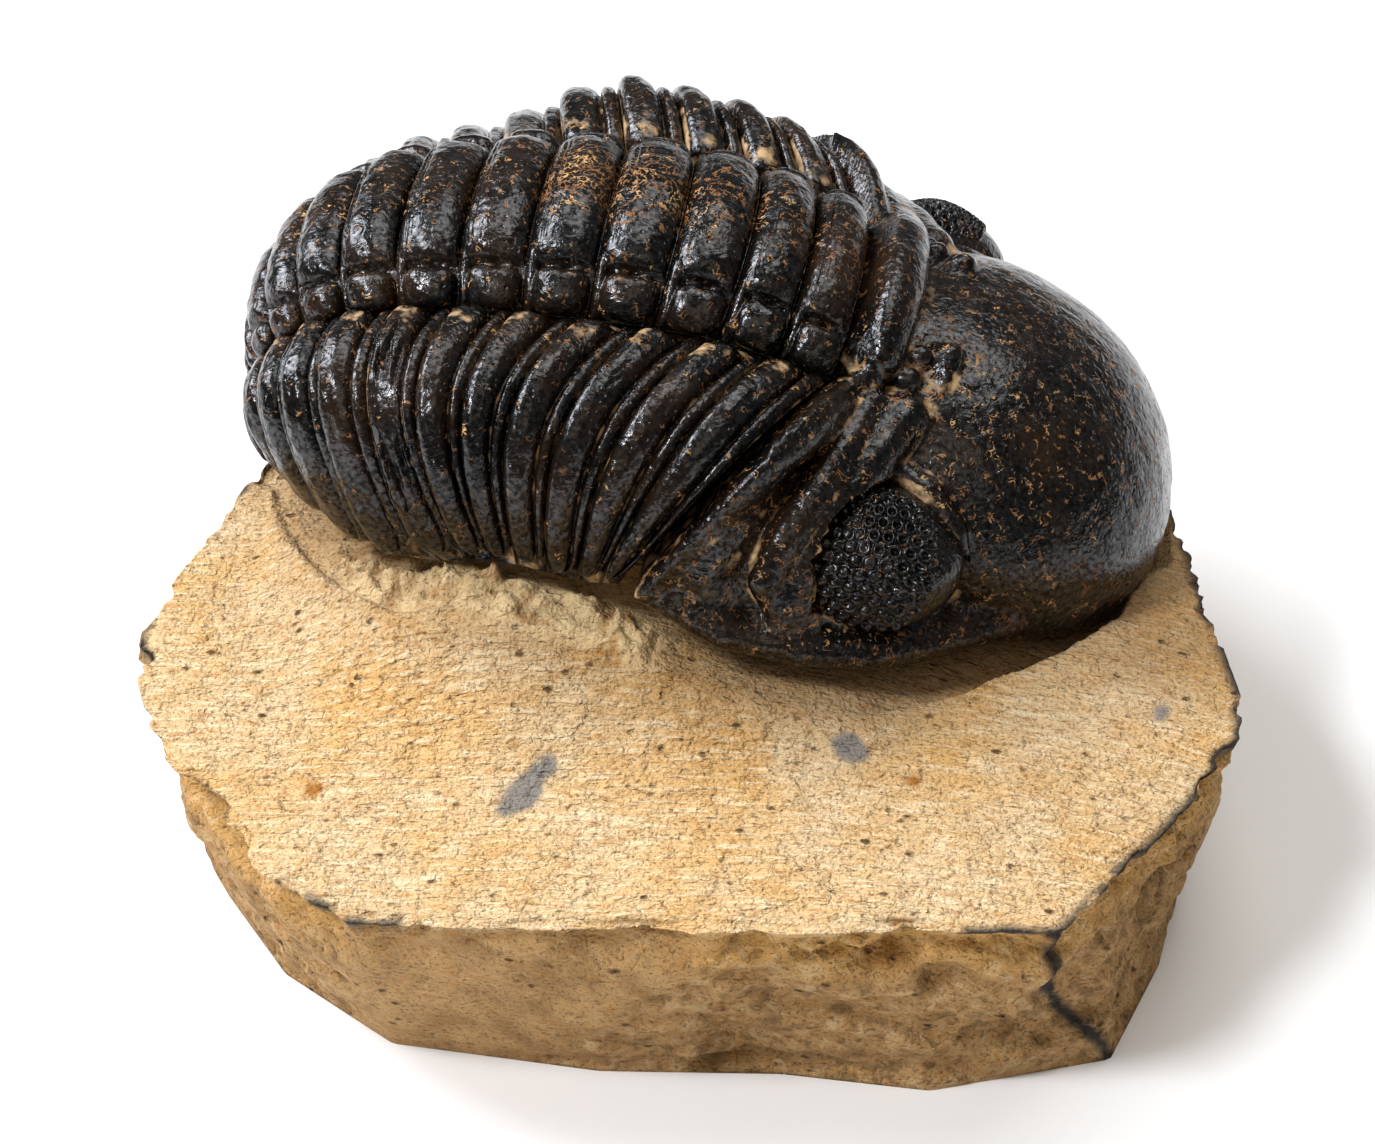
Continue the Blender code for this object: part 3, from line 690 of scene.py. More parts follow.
def head_distance(points, lines):
    """Distance to the head's surface, negative inside, and distance to the next form, small in a crease."""
    p = np.stack([points[:, 0], np.abs(points[:, 1]), points[:, 2]], 1)
    parts = head_parts(p, lines)
    solid = parts[0][0]
    for distance, width in parts[1:]:
        solid = melt(solid, distance, width) if width > 0 else np.minimum(solid, distance)
    second = np.sort(np.stack([d for d, _ in parts]), axis=0)[1]
    grown = np.array(EYE_RADII) + SOCKET_GROWTH
    socket = ellipsoid(p, SOCKET_CENTRE, grown)
    solid = np.maximum(solid, -socket)
    second = np.where(socket < 0.5, np.minimum(second, np.maximum(socket, 0.0)), second)
    solid = np.minimum(solid, ellipsoid(p, EYE_CENTRE, EYE_RADII) + 2.2)
    solid = melt(solid, tube(p, np.array(LID_PATH), LID_RADII), 0.5)
    solid = np.maximum(solid, neck_sheet(p, HEAD_GAP, lines["joint"]))
    under = BELLY_HEIGHT - BELLY_SLOPE * p[:, 0]
    return np.maximum(solid, under - p[:, 2]), second


def cast_inwards(directions, start, steps, stride, lines):
    """Walks from outside towards the head's middle until each ray meets its surface."""
    middle = np.array(HEAD_MIDDLE)
    far = start.copy()
    for _ in range(steps):
        far = far - stride * head_distance(middle + directions * far[:, None], lines)[0]
    return np.maximum(far, 0.5)


def ray_directions(points):
    """Directions from the head's middle, with the ball's poles turned to its two sides."""
    return unit(np.stack([points[:, 0], points[:, 2], points[:, 1]], 1) * (1.0, 1.0, 0.9))


def make_head(sizes, material):
    """The head shield, cast from outside onto its forms. A coarse cast gives the fine one its start."""
    coarse = 4
    columns, rows = (count // coarse * coarse for count in scaled(HEAD_GRID))
    lines = head_lines()
    seed_ball, seed_points, seed_column, seed_row = grid_ball(columns // coarse, rows // coarse)
    seed_ball.free()
    seed_far = cast_inwards(ray_directions(seed_points), np.full(len(seed_points), 60.0), 80, 0.7, lines)
    table = np.zeros((rows // coarse + 1, columns // coarse))
    table[seed_row, seed_column] = seed_far
    table[0] = seed_far[seed_row == 0][0]
    table[-1] = seed_far[seed_row == rows // coarse][0]
    ball, points, column, row = grid_ball(columns, rows)
    i, u = np.divmod(row / coarse, 1)
    j, v = np.divmod(column / coarse, 1)
    i, j = i.astype(int), j.astype(int)
    below = np.minimum(i + 1, rows // coarse)
    beside = (j + 1) % (columns // coarse)
    start = (table[i, j] * (1 - u) + table[below, j] * u) * (1 - v)
    start = start + (table[i, beside] * (1 - u) + table[below, beside] * u) * v
    directions = ray_directions(points)
    # The head is alike on both sides, so one half is cast and the other mirrors it.
    half = row <= rows // 2
    fine = np.zeros((rows + 1, columns))
    fine[row[half], column[half]] = cast_inwards(directions[half], start[half], 16, 0.65, lines)
    far = fine[np.minimum(row, rows - row), column]
    places = np.array(HEAD_MIDDLE) + directions * far[:, None]
    second = head_distance(places, lines)[1]
    crease = 1 - smooth_step(0.15, 1.3, second)
    on_glabella = smooth_step(1.2, -0.4, ellipsoid(places, GLABELLA_CENTRE, GLABELLA_RADII, HEAD_PITCH, 2.15))
    wrinkle = sizes.wrinkle_depth / MM
    uneven = rough(places, 6.0, 5, 3) * (1 - 0.5 * on_glabella) + 0.5 * rough(places, 1.6, 9, 2)
    places = places + directions * (wrinkle * uneven * (1 - crease))[:, None]
    masks = {"residue": crease * 0.68, "fleck": 0.26 + 0.06 * on_glabella + 0.2 * crease}
    return finish_piece("head_shell", ball, places, masks, material, "cephalon")


def make_eye(name, turned, sizes, material):
    """An eye: a bulb that carries rows of round lenses, domed behind and worn to rings in front."""
    ball, points, _, _ = grid_ball(*scaled(EYE_GRID))
    radii = np.array(EYE_RADII)
    face = unit(np.array(EYE_FACE))
    ahead = unit(np.cross((0.0, 0.0, 1.0), face)) * -1.0
    above = np.cross(ahead, face) * -1.0
    angle = np.arccos(np.clip(points @ face, -1.0, 1.0))
    outwards = unit(points - (points @ face)[:, None] * face)
    pitch = sizes.lens_pitch / MM
    u = angle * (outwards @ ahead) * radii[0]
    v = angle * (outwards @ above) * radii[0]
    line = np.rint(v / (pitch * 0.866))
    place = u / pitch + 0.5 * (line % 2)
    away = np.hypot(place - np.rint(place), (v / (pitch * 0.866) - line) * 0.866)
    # The field of lenses ends in a smooth rim in front and over the top.
    seen = smooth_step(1.28, 1.14, angle) * smooth_step(7.3, 6.7, u + 0.2 * v)
    dome = np.clip(1 - (away / 0.43) ** 2, 0, 1) ** 0.5
    worn = smooth_step(-2.5, 4.5, u - v)
    ringed = 0.75 * bump(away, 0.36, 0.17) - 0.35 * bump(away, 0.0, 0.22)
    lens = sizes.lens_height / MM * seen * (dome * (1 - worn) + ringed * worn)
    taper = 1 - 0.24 * smooth_step(0.1, 1.0, points[:, 2])
    places = points * radii * np.stack([taper, 1 + 0 * taper, 1 + 0 * taper], 1)
    places = places + unit(points / radii) * lens[:, None]
    places = (places + EYE_CENTRE) * (1.0, turned, 1.0)
    masks = {"residue": 0.0 * lens, "fleck": 0.05 + 0.25 * worn * (1 - dome) * seen}
    return finish_piece(name, ball, places, masks, material, "cephalon")


def outline_radius(corners, bearing):
    """How far a closed outline is from the stone's middle on each bearing, straight between corners."""
    corners = np.array([c[:2] for c in corners]) - STONE_MIDDLE
    reach = np.full(len(bearing), 1.0)
    heading = np.stack([np.cos(bearing), np.sin(bearing)], 1)
    for a, b in zip(corners, np.roll(corners, -1, axis=0)):
        edge = b - a
        cross = heading[:, 0] * edge[1] - heading[:, 1] * edge[0]
        cross = np.where(np.abs(cross) < 1e-9, 1e-9, cross)
        far = (a[0] * edge[1] - a[1] * edge[0]) / cross
        on = (a[0] * heading[:, 1] - a[1] * heading[:, 0]) / cross
        reach = np.where((far > 0) & (on >= -1e-6) & (on <= 1 + 1e-6), np.maximum(reach, far), reach)
    return reach


def edge_height(bearing):
    """Height of the stone's top edge on each bearing."""
    corners = np.array(TOP_CORNERS)
    turns = np.arctan2(corners[:, 1] - STONE_MIDDLE[1], corners[:, 0] - STONE_MIDDLE[0])
    order = np.argsort(turns)
    return np.interp(bearing, turns[order], corners[order, 2], period=2 * np.pi)


def bed_height(x):
    """The level just below the trilobite's underside at this X."""
    station = np.linspace(TAIL_END, 0.0, 60)
    tip = guide(station, TIP_X, TIP_Z, BELLY_X)
    at_tips = np.interp(x, tip[:, 0], tip[:, 1])
    at_belly = np.interp(x, tip[:, 2], tip[:, 1])
    thorax = np.minimum(at_tips, at_belly) - PLATE_THICKNESS
    head = BELLY_HEIGHT - BELLY_SLOPE * x
    return np.where(x > TIP_X[0] - 1.0, np.minimum(thorax, head), thorax) - BED_GAP


def half_width(x):
    """Half the trilobite's width at this X."""
    station = np.linspace(TAIL_END, 0.0, 60)
    tip = guide(station, TIP_X, TIP_Y)
    rim = np.array(MARGIN_PATH)
    return np.interp(x, np.append(tip[:, 0], rim[:, 0]), np.append(tip[:, 1], rim[:, 1]), left=0.0, right=0.0)


def outside_of(x, y):
    """How far a place is outside the trilobite's outline, seen from above."""
    behind = np.maximum(TAIL_EDGE - x, 0.0)
    beside = np.abs(y) - half_width(np.maximum(x, TAIL_EDGE))
    return np.where(behind > 0, np.hypot(np.maximum(beside, 0.0), behind), beside)


def stone_top(x, y, edge, share):
    """The stone's upper surface, with a mound beside the thorax and a bed under the trilobite."""
    outside = outside_of(x, y)
    mound = np.exp(-(((x + 18.0) / 27.0) ** 2) - (np.maximum(outside, 0.0) / 11.0) ** 2)
    level = edge * share**2 + (1 - share**2) * 24.0
    slab = level + (MOUND_HEIGHT - level) * mound * (1 - share**6)
    bed = bed_height(x)
    inset = 3.0 + 4.0 * smooth_step(-5.0, 20.0, x)
    ends = smooth_step(-41.5, -36.0, x) * smooth_step(42.0, 34.0, x)
    on_bed = smooth_step(0.0, 4.5, -outside - inset) * ends
    ahead = smooth_step(44.0, 52.0, x)
    clear = bed - 2.0 + 30.0 * smooth_step(0.0, 14.0, outside - 3.0) + 8.0 * ahead
    slab = np.minimum(slab, clear)
    return np.where(on_bed > 0, slab * (1 - on_bed) + bed * on_bed, slab)


def spot_mask(x, y, spots, ragged):
    """A mask that is 1 inside some stains, with ragged edges."""
    mask = np.zeros(len(x))
    for (cx, cy), (rx, ry), turn in spots:
        c, s = np.cos(np.radians(turn)), np.sin(np.radians(turn))
        u = ((x - cx) * c + (y - cy) * s) / rx
        v = ((cy - y) * c + (x - cx) * s) / ry
        mask = np.maximum(mask, smooth_step(1.25, 0.75, np.hypot(u, v) + ragged))
    return mask


def front_faces(p, low, down):
    """Where the front's plain sawn face lies, and where the rock below the top edge is torn."""
    sawn = low * (p[:, 1] < FRONT_EDGE) * smooth_step(-25.0, -22.0, p[:, 0])
    sawn = sawn * smooth_step(6.0, 2.0, p[:, 0] - 0.9 * (p[:, 2] - 12.0))
    patches = rough(p * (1.0, 1.0, 0.3), 9.0, 151, 3) + 0.9 * smooth_step(-12.0, 6.0, p[:, 0]) - 0.4 * sawn
    return sawn, low * bump(down, 0.12, 0.25) * smooth_step(-0.45, 0.15, patches)


def side_relief(p, down, chips, sawn, torn):
    """How far the broken sides lie inside their outline: a ledge, hollows and rough fracture."""
    ledge = 2.4 * bump(down, 0.17 + 0.05 * rough(p * (1.0, 1.0, 0.0), 14.0, 68, 2), 0.09)
    hollow = 2.4 * np.clip(rough(p * (1.0, 1.0, 1.8), 13.0, 71, 4) - 0.15, 0, 1.5)
    hollow_x, hollow_z, hollow_radius = FRONT_HOLLOW
    away = np.hypot((p[:, 0] - hollow_x) / 1.3, p[:, 2] - hollow_z)
    hollow = hollow + 2.8 * bump(away, 0.0, hollow_radius) * (p[:, 1] < FRONT_EDGE)
    fracture = rough(p * (0.4, 1.0, 1.0), 3.2, 81, 4)
    relief = np.minimum(fracture - 0.4 - hollow - ledge * chips, 0.0) * (1 - 0.85 * sawn)
    relief = np.minimum(relief + 0.8 * torn * (rough(p, 1.7, 85, 3) - 0.6), 0.0)
    return relief * smooth_step(0.0, 0.06, down) * smooth_step(1.0, 0.96, down)


def crust_mask(p, x, low, share, down, bearing, reach):
    """Dark crust: patches along the top edge and a line down the corner right of the front."""
    on_edge = smooth_step(0.972, 1.0, share) * (1 - smooth_step(0.0, 0.10, down))
    patches = smooth_step(0.1, 0.45, rough(p, 5.0, 131, 3) + 0.8 * smooth_step(38.0, 50.0, x) - 0.15)
    corner = RIGHT_CORNER[0] + (RIGHT_CORNER[1] - RIGHT_CORNER[0]) * down
    away = np.abs(bearing - corner + 0.04 * bump(down, 0.45, 0.5)) * reach
    return np.maximum(on_edge * patches, low * smooth_step(1.0, 0.4, away + 0.3 * rough(p, 1.4, 133, 2)))


def make_stone(sizes, material):
    """The block: a polar grid over its top, down its sides and across its foot."""
    columns, top_rings, side_rings = scaled(STONE_GRID)
    ball, points, _, row = grid_ball(columns, top_rings + side_rings + 1)
    bearing = np.arctan2(points[:, 1], points[:, 0])
    across = np.stack([np.cos(bearing), np.sin(bearing)])
    top = outline_radius(TOP_CORNERS, bearing) - EDGE_INSET
    foot = outline_radius(FOOT_CORNERS, bearing)
    edge = edge_height(bearing)
    share = 1 - (1 - np.clip(row / top_rings, 0.0, 1.0)) ** 1.12
    down = np.clip((row - top_rings) / side_rings, 0.0, 1.0)
    low = row > top_rings
    reach = np.where(low, top + (foot - top) * down**1.3, top * share)
    x, y = np.array(STONE_MIDDLE)[:, None] + reach * across
    z = np.where(low, edge * (1 - down), stone_top(x, y, edge, share))
    # The smooth block's places, which every noise below reads.
    p = np.stack([x, y, z], 1)
    chips = np.clip(rough(p, 7.0, 61, 4) - 0.1, 0, 1) + 0.35 * np.clip(rough(p, 2.2, 65, 3), 0, 1)
    near_edge = smooth_step(0.95, 1.0, share) * (1 - smooth_step(0.0, 0.30, down))
    chip = sizes.chip_depth / MM * chips * near_edge
    sawn, torn = front_faces(p, low, down)
    reach = np.clip(reach + np.where(low, side_relief(p, down, chips, sawn, torn), 0.0) - chip, 0.0, None)
    x, y = np.array(STONE_MIDDLE)[:, None] + reach * across
    outside = outside_of(x, y)
    open_top = (1 - low) * smooth_step(-2.0, 1.0, outside)
    dents = 0.22 * rough(p, 9.0, 101, 3) + 0.13 * rough(p, 2.2, 111, 3)
    tips = smooth_step(-34.0, -28.0, x) * smooth_step(4.0, -2.0, x) * (y < 0) * (1 - low)
    rubble = tips * bump(outside, 0.5, 3.6) * (1.1 + 2.2 * rough(p, 1.6, 141, 3))
    z = z + open_top * dents - np.where(low, 0.0, 0.5 * chip) + np.maximum(rubble, 0.0)
    pole = row > top_rings + side_rings
    x = np.where(pole, STONE_MIDDLE[0], x)
    y = np.where(pole, STONE_MIDDLE[1], y)
    z = np.where(pole | (down >= 1.0), 0.0, np.maximum(z, 0.0))
    ragged = 0.35 * rough(p, 1.6, 121, 2)
    # Painted shadow: the top is darkened beside the trilobite's outline and on the stone ahead of its head.
    beside = np.exp(-(np.maximum(outside, 0.0) / 7.0) ** 2)
    ahead = 0.9 * smooth_step(36.0, 48.0, x) * smooth_step(-34.0, -20.0, y)
    masks = {
        "side": smooth_step(0.0, 0.05, down),
        "broken": smooth_step(0.0, 0.05, down) * (1 - 0.8 * sawn),
        "ledge": torn,
        "rubble": np.clip(tips * bump(outside, 0.5, 5.0) * 1.5, 0, 1),
        "crust": crust_mask(p, x, low, share, down, bearing, reach),
        "grime": (1 - low) * np.maximum(beside, ahead),
        "grey_spot": (1 - low) * spot_mask(x, y, GREY_SPOTS, ragged),
        "rust_spot": (1 - low) * spot_mask(x, y, RUST_SPOTS, ragged),
    }
    places = np.stack([x, y, z], 1)
    piece = finish_piece("limestone_block", ball, places, masks, material, "matrix")
    # The grit's lines bend away to the right of the block.
    bend = 0.004 * np.maximum(x - 10.0, 0.0) ** 2
    grain = np.stack([x, y - 0.13 * x + bend, z], 1) * MM
    attribute = piece.data.attributes.new("grain", "FLOAT_VECTOR", "POINT")
    attribute.data.foreach_set("vector", grain.astype(np.float32).ravel())
    return piece


def add_node(tree, kind, inputs=None, **settings):
    """Adds a node with its settings. Each input is a value, or the output that feeds it."""
    node = tree.nodes.new("ShaderNode" + kind)
    for name, value in settings.items():
        setattr(node, name, value)
    for socket, value in (inputs or {}).items():
        if isinstance(value, bpy.types.NodeSocket):
            tree.links.new(value, node.inputs[socket])
        else:
            node.inputs[socket].default_value = value
    return node


def per_metre(size):
    """Scale of a pattern whose cells have this size in millimetres."""
    return 1 / (size * MM)


def new_material(name):
    """A material with its node tree and its shader."""
    material = bpy.data.materials.new(name)
    material.use_nodes = True
    tree = material.node_tree
    return material, tree, tree.nodes["Principled BSDF"]


def black_calcite(colours):
    """Black calcite that took the place of the shell, rubbed down and waxed.

    It gives a near-black surface with a wet gloss that small wrinkles break up, ochre flecks of rock in its
    pores and pale rock left in the seams.
    """
    material, tree, shader = new_material("black_calcite_shell")
    place = add_node(tree, "TexCoord").outputs["Object"]
    moved = add_node(tree, "Mapping", {"Vector": place, "Location": (0.31, 0.17, 0.53)}).outputs[0]
    mask = {
        name: add_node(tree, "Attribute", attribute_name=name).outputs["Fac"] for name in ("residue", "fleck")
    }
    # Noises: where each is read, its size in millimetres, its detail and its distortion. The finest ones are
    # drawn coarser than the real grain of about 0.2 mm, so that they show.
    noise = {
        name: add_node(
            tree,
            "TexNoise",
            {"Vector": vector, "Scale": per_metre(size), "Detail": detail, "Distortion": bend},
        ).outputs["Fac"]
        for name, (vector, size, detail, bend) in {
            "cloud": (place, 8.0, 4.0, 0.0),
            "worm": (place, 0.8, 2.0, 0.5),
            "stroke": (moved, 1.0, 3.0, 0.0),
            "paler": (moved, 2.6, 1.0, 0.0),
            "rock": (place, 1.7, 5.0, 0.0),
            "sheen": (place, 3.0, 6.0, 0.0),
            "film": (place, 0.5, 3.0, 0.0),
            "wrinkle": (place, 1.6, 3.0, 1.2),
            "grain": (place, 0.45, 2.0, 0.0),
        }.items()
    }
    # Flecks are the level lines of one noise, cut to short strokes by a second one.
    off_line = add_node(tree, "Math", {0: noise["worm"], 1: 0.5}, operation="SUBTRACT").outputs[0]
    off_line = add_node(tree, "Math", {0: off_line}, operation="ABSOLUTE").outputs[0]
    dense = add_node(tree, "Math", {0: mask["fleck"], 1: 0.30}, operation="MULTIPLY").outputs[0]
    stroke = add_node(tree, "Math", {0: noise["stroke"], 1: dense}, operation="ADD").outputs[0]
    in_seam = add_node(tree, "Math", {0: mask["residue"], 1: noise["rock"]}, operation="ADD").outputs[0]
    pits = add_node(tree, "TexVoronoi", {"Vector": place, "Scale": per_metre(0.95)}).outputs["Distance"]
    # Shares: the source of each, the two levels it is read between and what it gives at them.
    share = {
        name: add_node(
            tree,
            "MapRange",
            {"Value": source, "From Min": low, "From Max": high, "To Min": first, "To Max": last},
        ).outputs[0]
        for name, (source, low, high, first, last) in {
            "warm": (noise["cloud"], 0.45, 0.75, 0.0, 0.8),
            "on_line": (off_line, 0.015, 0.040, 1.0, 0.0),
            "stroke": (stroke, 0.64, 0.72, 0.0, 1.0),
            "paler": (noise["paler"], 0.50, 0.68, 0.0, 1.0),
            "filled": (in_seam, 1.12, 1.32, 0.0, 1.0),
            "rock": (noise["rock"], 0.40, 0.62, 0.0, 1.0),
            "gloss": (noise["sheen"], 0.35, 0.70, 0.14, 0.29),
            "film": (noise["film"], 0.36, 0.60, 0.12, 0.58),
            "pits": (pits, 0.08, 0.22, 0.0, 1.0),
        }.items()
    }
    speck = add_node(tree, "Math", {0: share["on_line"], 1: share["stroke"]}, operation="MULTIPLY").outputs[0]
    pairs = {"fleck": ("paler", colours.fleck, colours.fleck_light)}
    pairs["rock"] = ("rock", colours.residue_dark, colours.residue)
    mixed = {
        name: add_node(tree, "Mix", {0: share[by], 6: first, 7: last}, data_type="RGBA").outputs[2]
        for name, (by, first, last) in pairs.items()
    }
    ground = colours.shell
    for amount, colour in (
        (share["warm"], colours.shell_warm), (speck, mixed["fleck"]), (share["filled"], mixed["rock"]),
    ):
        ground = add_node(tree, "Mix", {0: amount, 6: ground, 7: colour}, data_type="RGBA").outputs[2]
    tree.links.new(ground, shader.inputs["Base Color"])
    # The wax's gloss is uneven, and rock has none.
    dull = add_node(tree, "Math", {0: speck, 1: share["filled"]}, operation="MAXIMUM").outputs[0]
    gloss = add_node(tree, "Mix", {0: dull, 2: share["gloss"], 3: 0.85}, data_type="FLOAT").outputs[0]
    tree.links.new(gloss, shader.inputs["Roughness"])
    tree.links.new(share["film"], shader.inputs["Specular IOR Level"])
    relief = {}
    for depth, height in ((0.17, noise["wrinkle"]), (0.05, noise["grain"]), (0.09, share["pits"])):
        dented = add_node(tree, "Bump", {"Height": height, "Distance": depth * MM, **relief})
        relief = {"Normal": dented.outputs[0]}
    tree.links.new(relief["Normal"], shader.inputs["Normal"])
    shader.inputs["IOR"].default_value = 1.5
    return material


def sanded_limestone(colours):
    """Cream limestone, ground flat on top with coarse grit and broken on its sides.

    It gives a dry, matt, porous surface with a sandy grain, fine parallel scratches, ochre clouds and a dark
    grey crust along its edges.
    """
    material, tree, shader = new_material("sanded_limestone")
    place = add_node(tree, "TexCoord").outputs["Object"]
    drawn = add_node(tree, "Attribute", attribute_name="grain").outputs["Vector"]
    mask = {
        name: add_node(tree, "Attribute", attribute_name=name).outputs["Fac"]
        for name in ("side", "broken", "ledge", "rubble", "crust", "grime", "grey_spot", "rust_spot")
    }
    # Scratches and grains are longer than they are wide.
    long_cells = add_node(tree, "Mapping", {"Vector": drawn, "Scale": (0.10, 1.0, 0.5)}).outputs[0]
    short_cells = add_node(tree, "Mapping", {"Vector": drawn, "Scale": (0.62, 1.0, 0.9)}).outputs[0]
    # Noises: where each is read, its size in millimetres, its detail and its distortion. The finest ones are
    # drawn coarser than the real grain of about 0.2 mm, so that they show.
    noise = {
        name: add_node(
            tree,
            "TexNoise",
            {"Vector": vector, "Scale": per_metre(size), "Detail": detail, "Distortion": bend},
        ).outputs["Fac"]
        for name, (vector, size, detail, bend) in {
            "scratch": (long_cells, 0.42, 2.0, 0.0),
            "grain": (short_cells, 0.62, 4.0, 0.6),
            "cloud": (place, 15.0, 6.0, 0.4),
            "patch": (place, 4.5, 5.0, 0.6),
            "coarse": (place, 1.5, 6.0, 0.3),
            "sand": (place, 0.38, 3.0, 0.0),
            "porous": (place, 3.0, 3.0, 0.0),
        }.items()
    }
    # Pores, about 0.4 mm across and 1.5 mm apart, and not everywhere.
    pores = add_node(tree, "TexVoronoi", {"Vector": short_cells, "Scale": per_metre(1.5)}).outputs["Distance"]
    # Shares: the source of each, the two levels it is read between and what it gives at them.
    share = {
        name: add_node(
            tree,
            "MapRange",
            {"Value": source, "From Min": low, "From Max": high, "To Min": first, "To Max": last},
        ).outputs[0]
        for name, (source, low, high, first, last) in {
            "clouded": (noise["cloud"], 0.42, 0.66, 0.0, 0.75),
            "stained": (noise["patch"], 0.48, 0.72, 0.0, 0.42),
            "side_dark": (noise["patch"], 0.42, 0.66, 0.0, 0.75),
            "chalk": (noise["patch"], 0.42, 0.52, 0.0, 1.0),
            "grain": (noise["grain"], 0.50, 0.68, 0.0, 0.62),
            # Painted shade and painted highlight: darker and paler patches of one noise on the broken sides.
            "shade": (noise["coarse"], 0.52, 0.64, 0.0, 0.6),
            "glint": (noise["coarse"], 0.46, 0.34, 0.0, 0.35),
            "scratch": (noise["scratch"], 0.52, 0.66, 0.0, 0.5),
            "sand": (noise["sand"], 0.55, 0.70, 0.0, 0.62),
            "pore": (pores, 0.10, 0.24, 1.0, 0.0),
            "porous": (noise["porous"], 0.50, 0.60, 0.0, 1.0),
        }.items()
    }
    on_top = add_node(tree, "Math", {0: 1.0, 1: mask["side"]}, operation="SUBTRACT").outputs[0]
    # Shares that hold on one part of the stone only.
    part = {
        name: add_node(tree, "Math", {0: first, 1: second}, operation="MULTIPLY").outputs[0]
        for name, (first, second) in {
            "shade": (share["shade"], mask["broken"]),
            "glint": (share["glint"], mask["broken"]),
            "ledge": (mask["ledge"], 0.85),
            "scratch": (share["scratch"], on_top),
            "pore": (share["pore"], share["porous"]),
            "grime": (mask["grime"], 0.5),
            "chalk": (mask["rubble"], share["chalk"]),
        }.items()
    }
    sides = {0: share["side_dark"], 6: colours.side, 7: colours.side_dark}
    ground = colours.cream
    for amount, colour in (
        (share["clouded"], colours.ochre),
        (share["stained"], colours.ochre),
        (mask["side"], add_node(tree, "Mix", sides, data_type="RGBA").outputs[2]),
        (share["grain"], colours.grain),
        # Painted shade on the broken sides.
        (part["shade"], colours.shade),
        (part["ledge"], colours.ochre),
        # Painted highlight on the broken sides.
        (part["glint"], colours.glint),
        (part["scratch"], colours.scratch),
        (share["sand"], colours.pit),
        (part["pore"], colours.pit),
        # Painted shadow beside the trilobite.
        (part["grime"], colours.grime),
        (part["chalk"], colours.chalk),
        (mask["crust"], colours.crust),
        (mask["grey_spot"], colours.grey_spot),
        (mask["rust_spot"], colours.rust_spot),
    ):
        ground = add_node(tree, "Mix", {0: amount, 6: ground, 7: colour}, data_type="RGBA").outputs[2]
    tree.links.new(ground, shader.inputs["Base Color"])
    # Relief, in millimetres. The pores go inwards.
    relief = {}
    for depth, height in (
        (1.1, noise["patch"]), (0.7, noise["coarse"]), (0.45, noise["grain"]), (0.30, noise["scratch"]),
        (0.30, noise["sand"]), (-0.35, part["pore"]),
    ):
        values = {"Height": height, "Distance": abs(depth) * MM, **relief}
        relief = {"Normal": add_node(tree, "Bump", values, invert=depth < 0).outputs[0]}
    tree.links.new(relief["Normal"], shader.inputs["Normal"])
    for name, value in {"Roughness": 0.92, "IOR": 1.5, "Specular IOR Level": 0.3}.items():
        shader.inputs[name].default_value = value
    return material


def pale_paper(colours):
    """Matt studio paper: a plain pale ground with the faintest tooth."""
    material, tree, shader = new_material("pale_paper")
    place = add_node(tree, "TexCoord").outputs["Object"]
    tooth = add_node(tree, "TexNoise", {"Vector": place, "Scale": per_metre(2.0), "Detail": 2.0})
    relief = add_node(tree, "Bump", {"Height": tooth.outputs["Fac"], "Distance": 0.02 * MM})
    tree.links.new(relief.outputs[0], shader.inputs["Normal"])
    shader.inputs["Base Color"].default_value = colours.floor
    shader.inputs["Roughness"].default_value = 0.95
    return material


def finish_of(name, maker, colours):
    """A finish that is made once and then shared."""
    return bpy.data.materials.get(name) or maker(colours)


class FOSSIL_OT_stone(bpy.types.Operator):
    """Model the limestone block"""

    bl_idname = "fossil.stone"
    bl_label = "Limestone block"

    def execute(self, context):
        finish = finish_of("sanded_limestone", sanded_limestone, context.scene.fossil_colours)
        make_stone(context.scene.fossil_sizes, finish)
        return {"FINISHED"}


class FOSSIL_OT_head(bpy.types.Operator):
    """Model the head shield"""

    bl_idname = "fossil.head"
    bl_label = "Head shield"

    def execute(self, context):
        finish = finish_of("black_calcite_shell", black_calcite, context.scene.fossil_colours)
        make_head(context.scene.fossil_sizes, finish)
        return {"FINISHED"}


class FOSSIL_OT_eyes(bpy.types.Operator):
    """Model both eyes with their lenses"""

    bl_idname = "fossil.eyes"
    bl_label = "Eyes"

    def execute(self, context):
        finish = finish_of("black_calcite_shell", black_calcite, context.scene.fossil_colours)
        make_eye("near_eye", -1.0, context.scene.fossil_sizes, finish)
        make_eye("far_eye", 1.0, context.scene.fossil_sizes, finish)
        return {"FINISHED"}


class FOSSIL_OT_thorax(bpy.types.Operator):
    """Model the plates of the thorax"""

    bl_idname = "fossil.thorax"
    bl_label = "Thorax plates"

    def execute(self, context):
        finish = finish_of("black_calcite_shell", black_calcite, context.scene.fossil_colours)
        for number in range(1, SEGMENTS + 1):
            make_segment(number, context.scene.fossil_sizes, finish)
        return {"FINISHED"}


class FOSSIL_OT_tail(bpy.types.Operator):
    """Model the tail shield"""

    bl_idname = "fossil.tail"
    bl_label = "Tail shield"

    def execute(self, context):
        finish = finish_of("black_calcite_shell", black_calcite, context.scene.fossil_colours)
        make_tail(context.scene.fossil_sizes, finish)
        return {"FINISHED"}


def aim(thing, target, bearing, elevation, distance):
    """Puts a camera or light on this bearing from the target and turns it to face the target."""
    back = Vector(
        (
            math.sin(bearing) * math.cos(elevation),
            -math.cos(bearing) * math.cos(elevation),
            math.sin(elevation),
        )
    )
    thing.location = target + back * distance
    thing.rotation_euler = (-back).to_track_quat("-Z", "Y").to_euler()


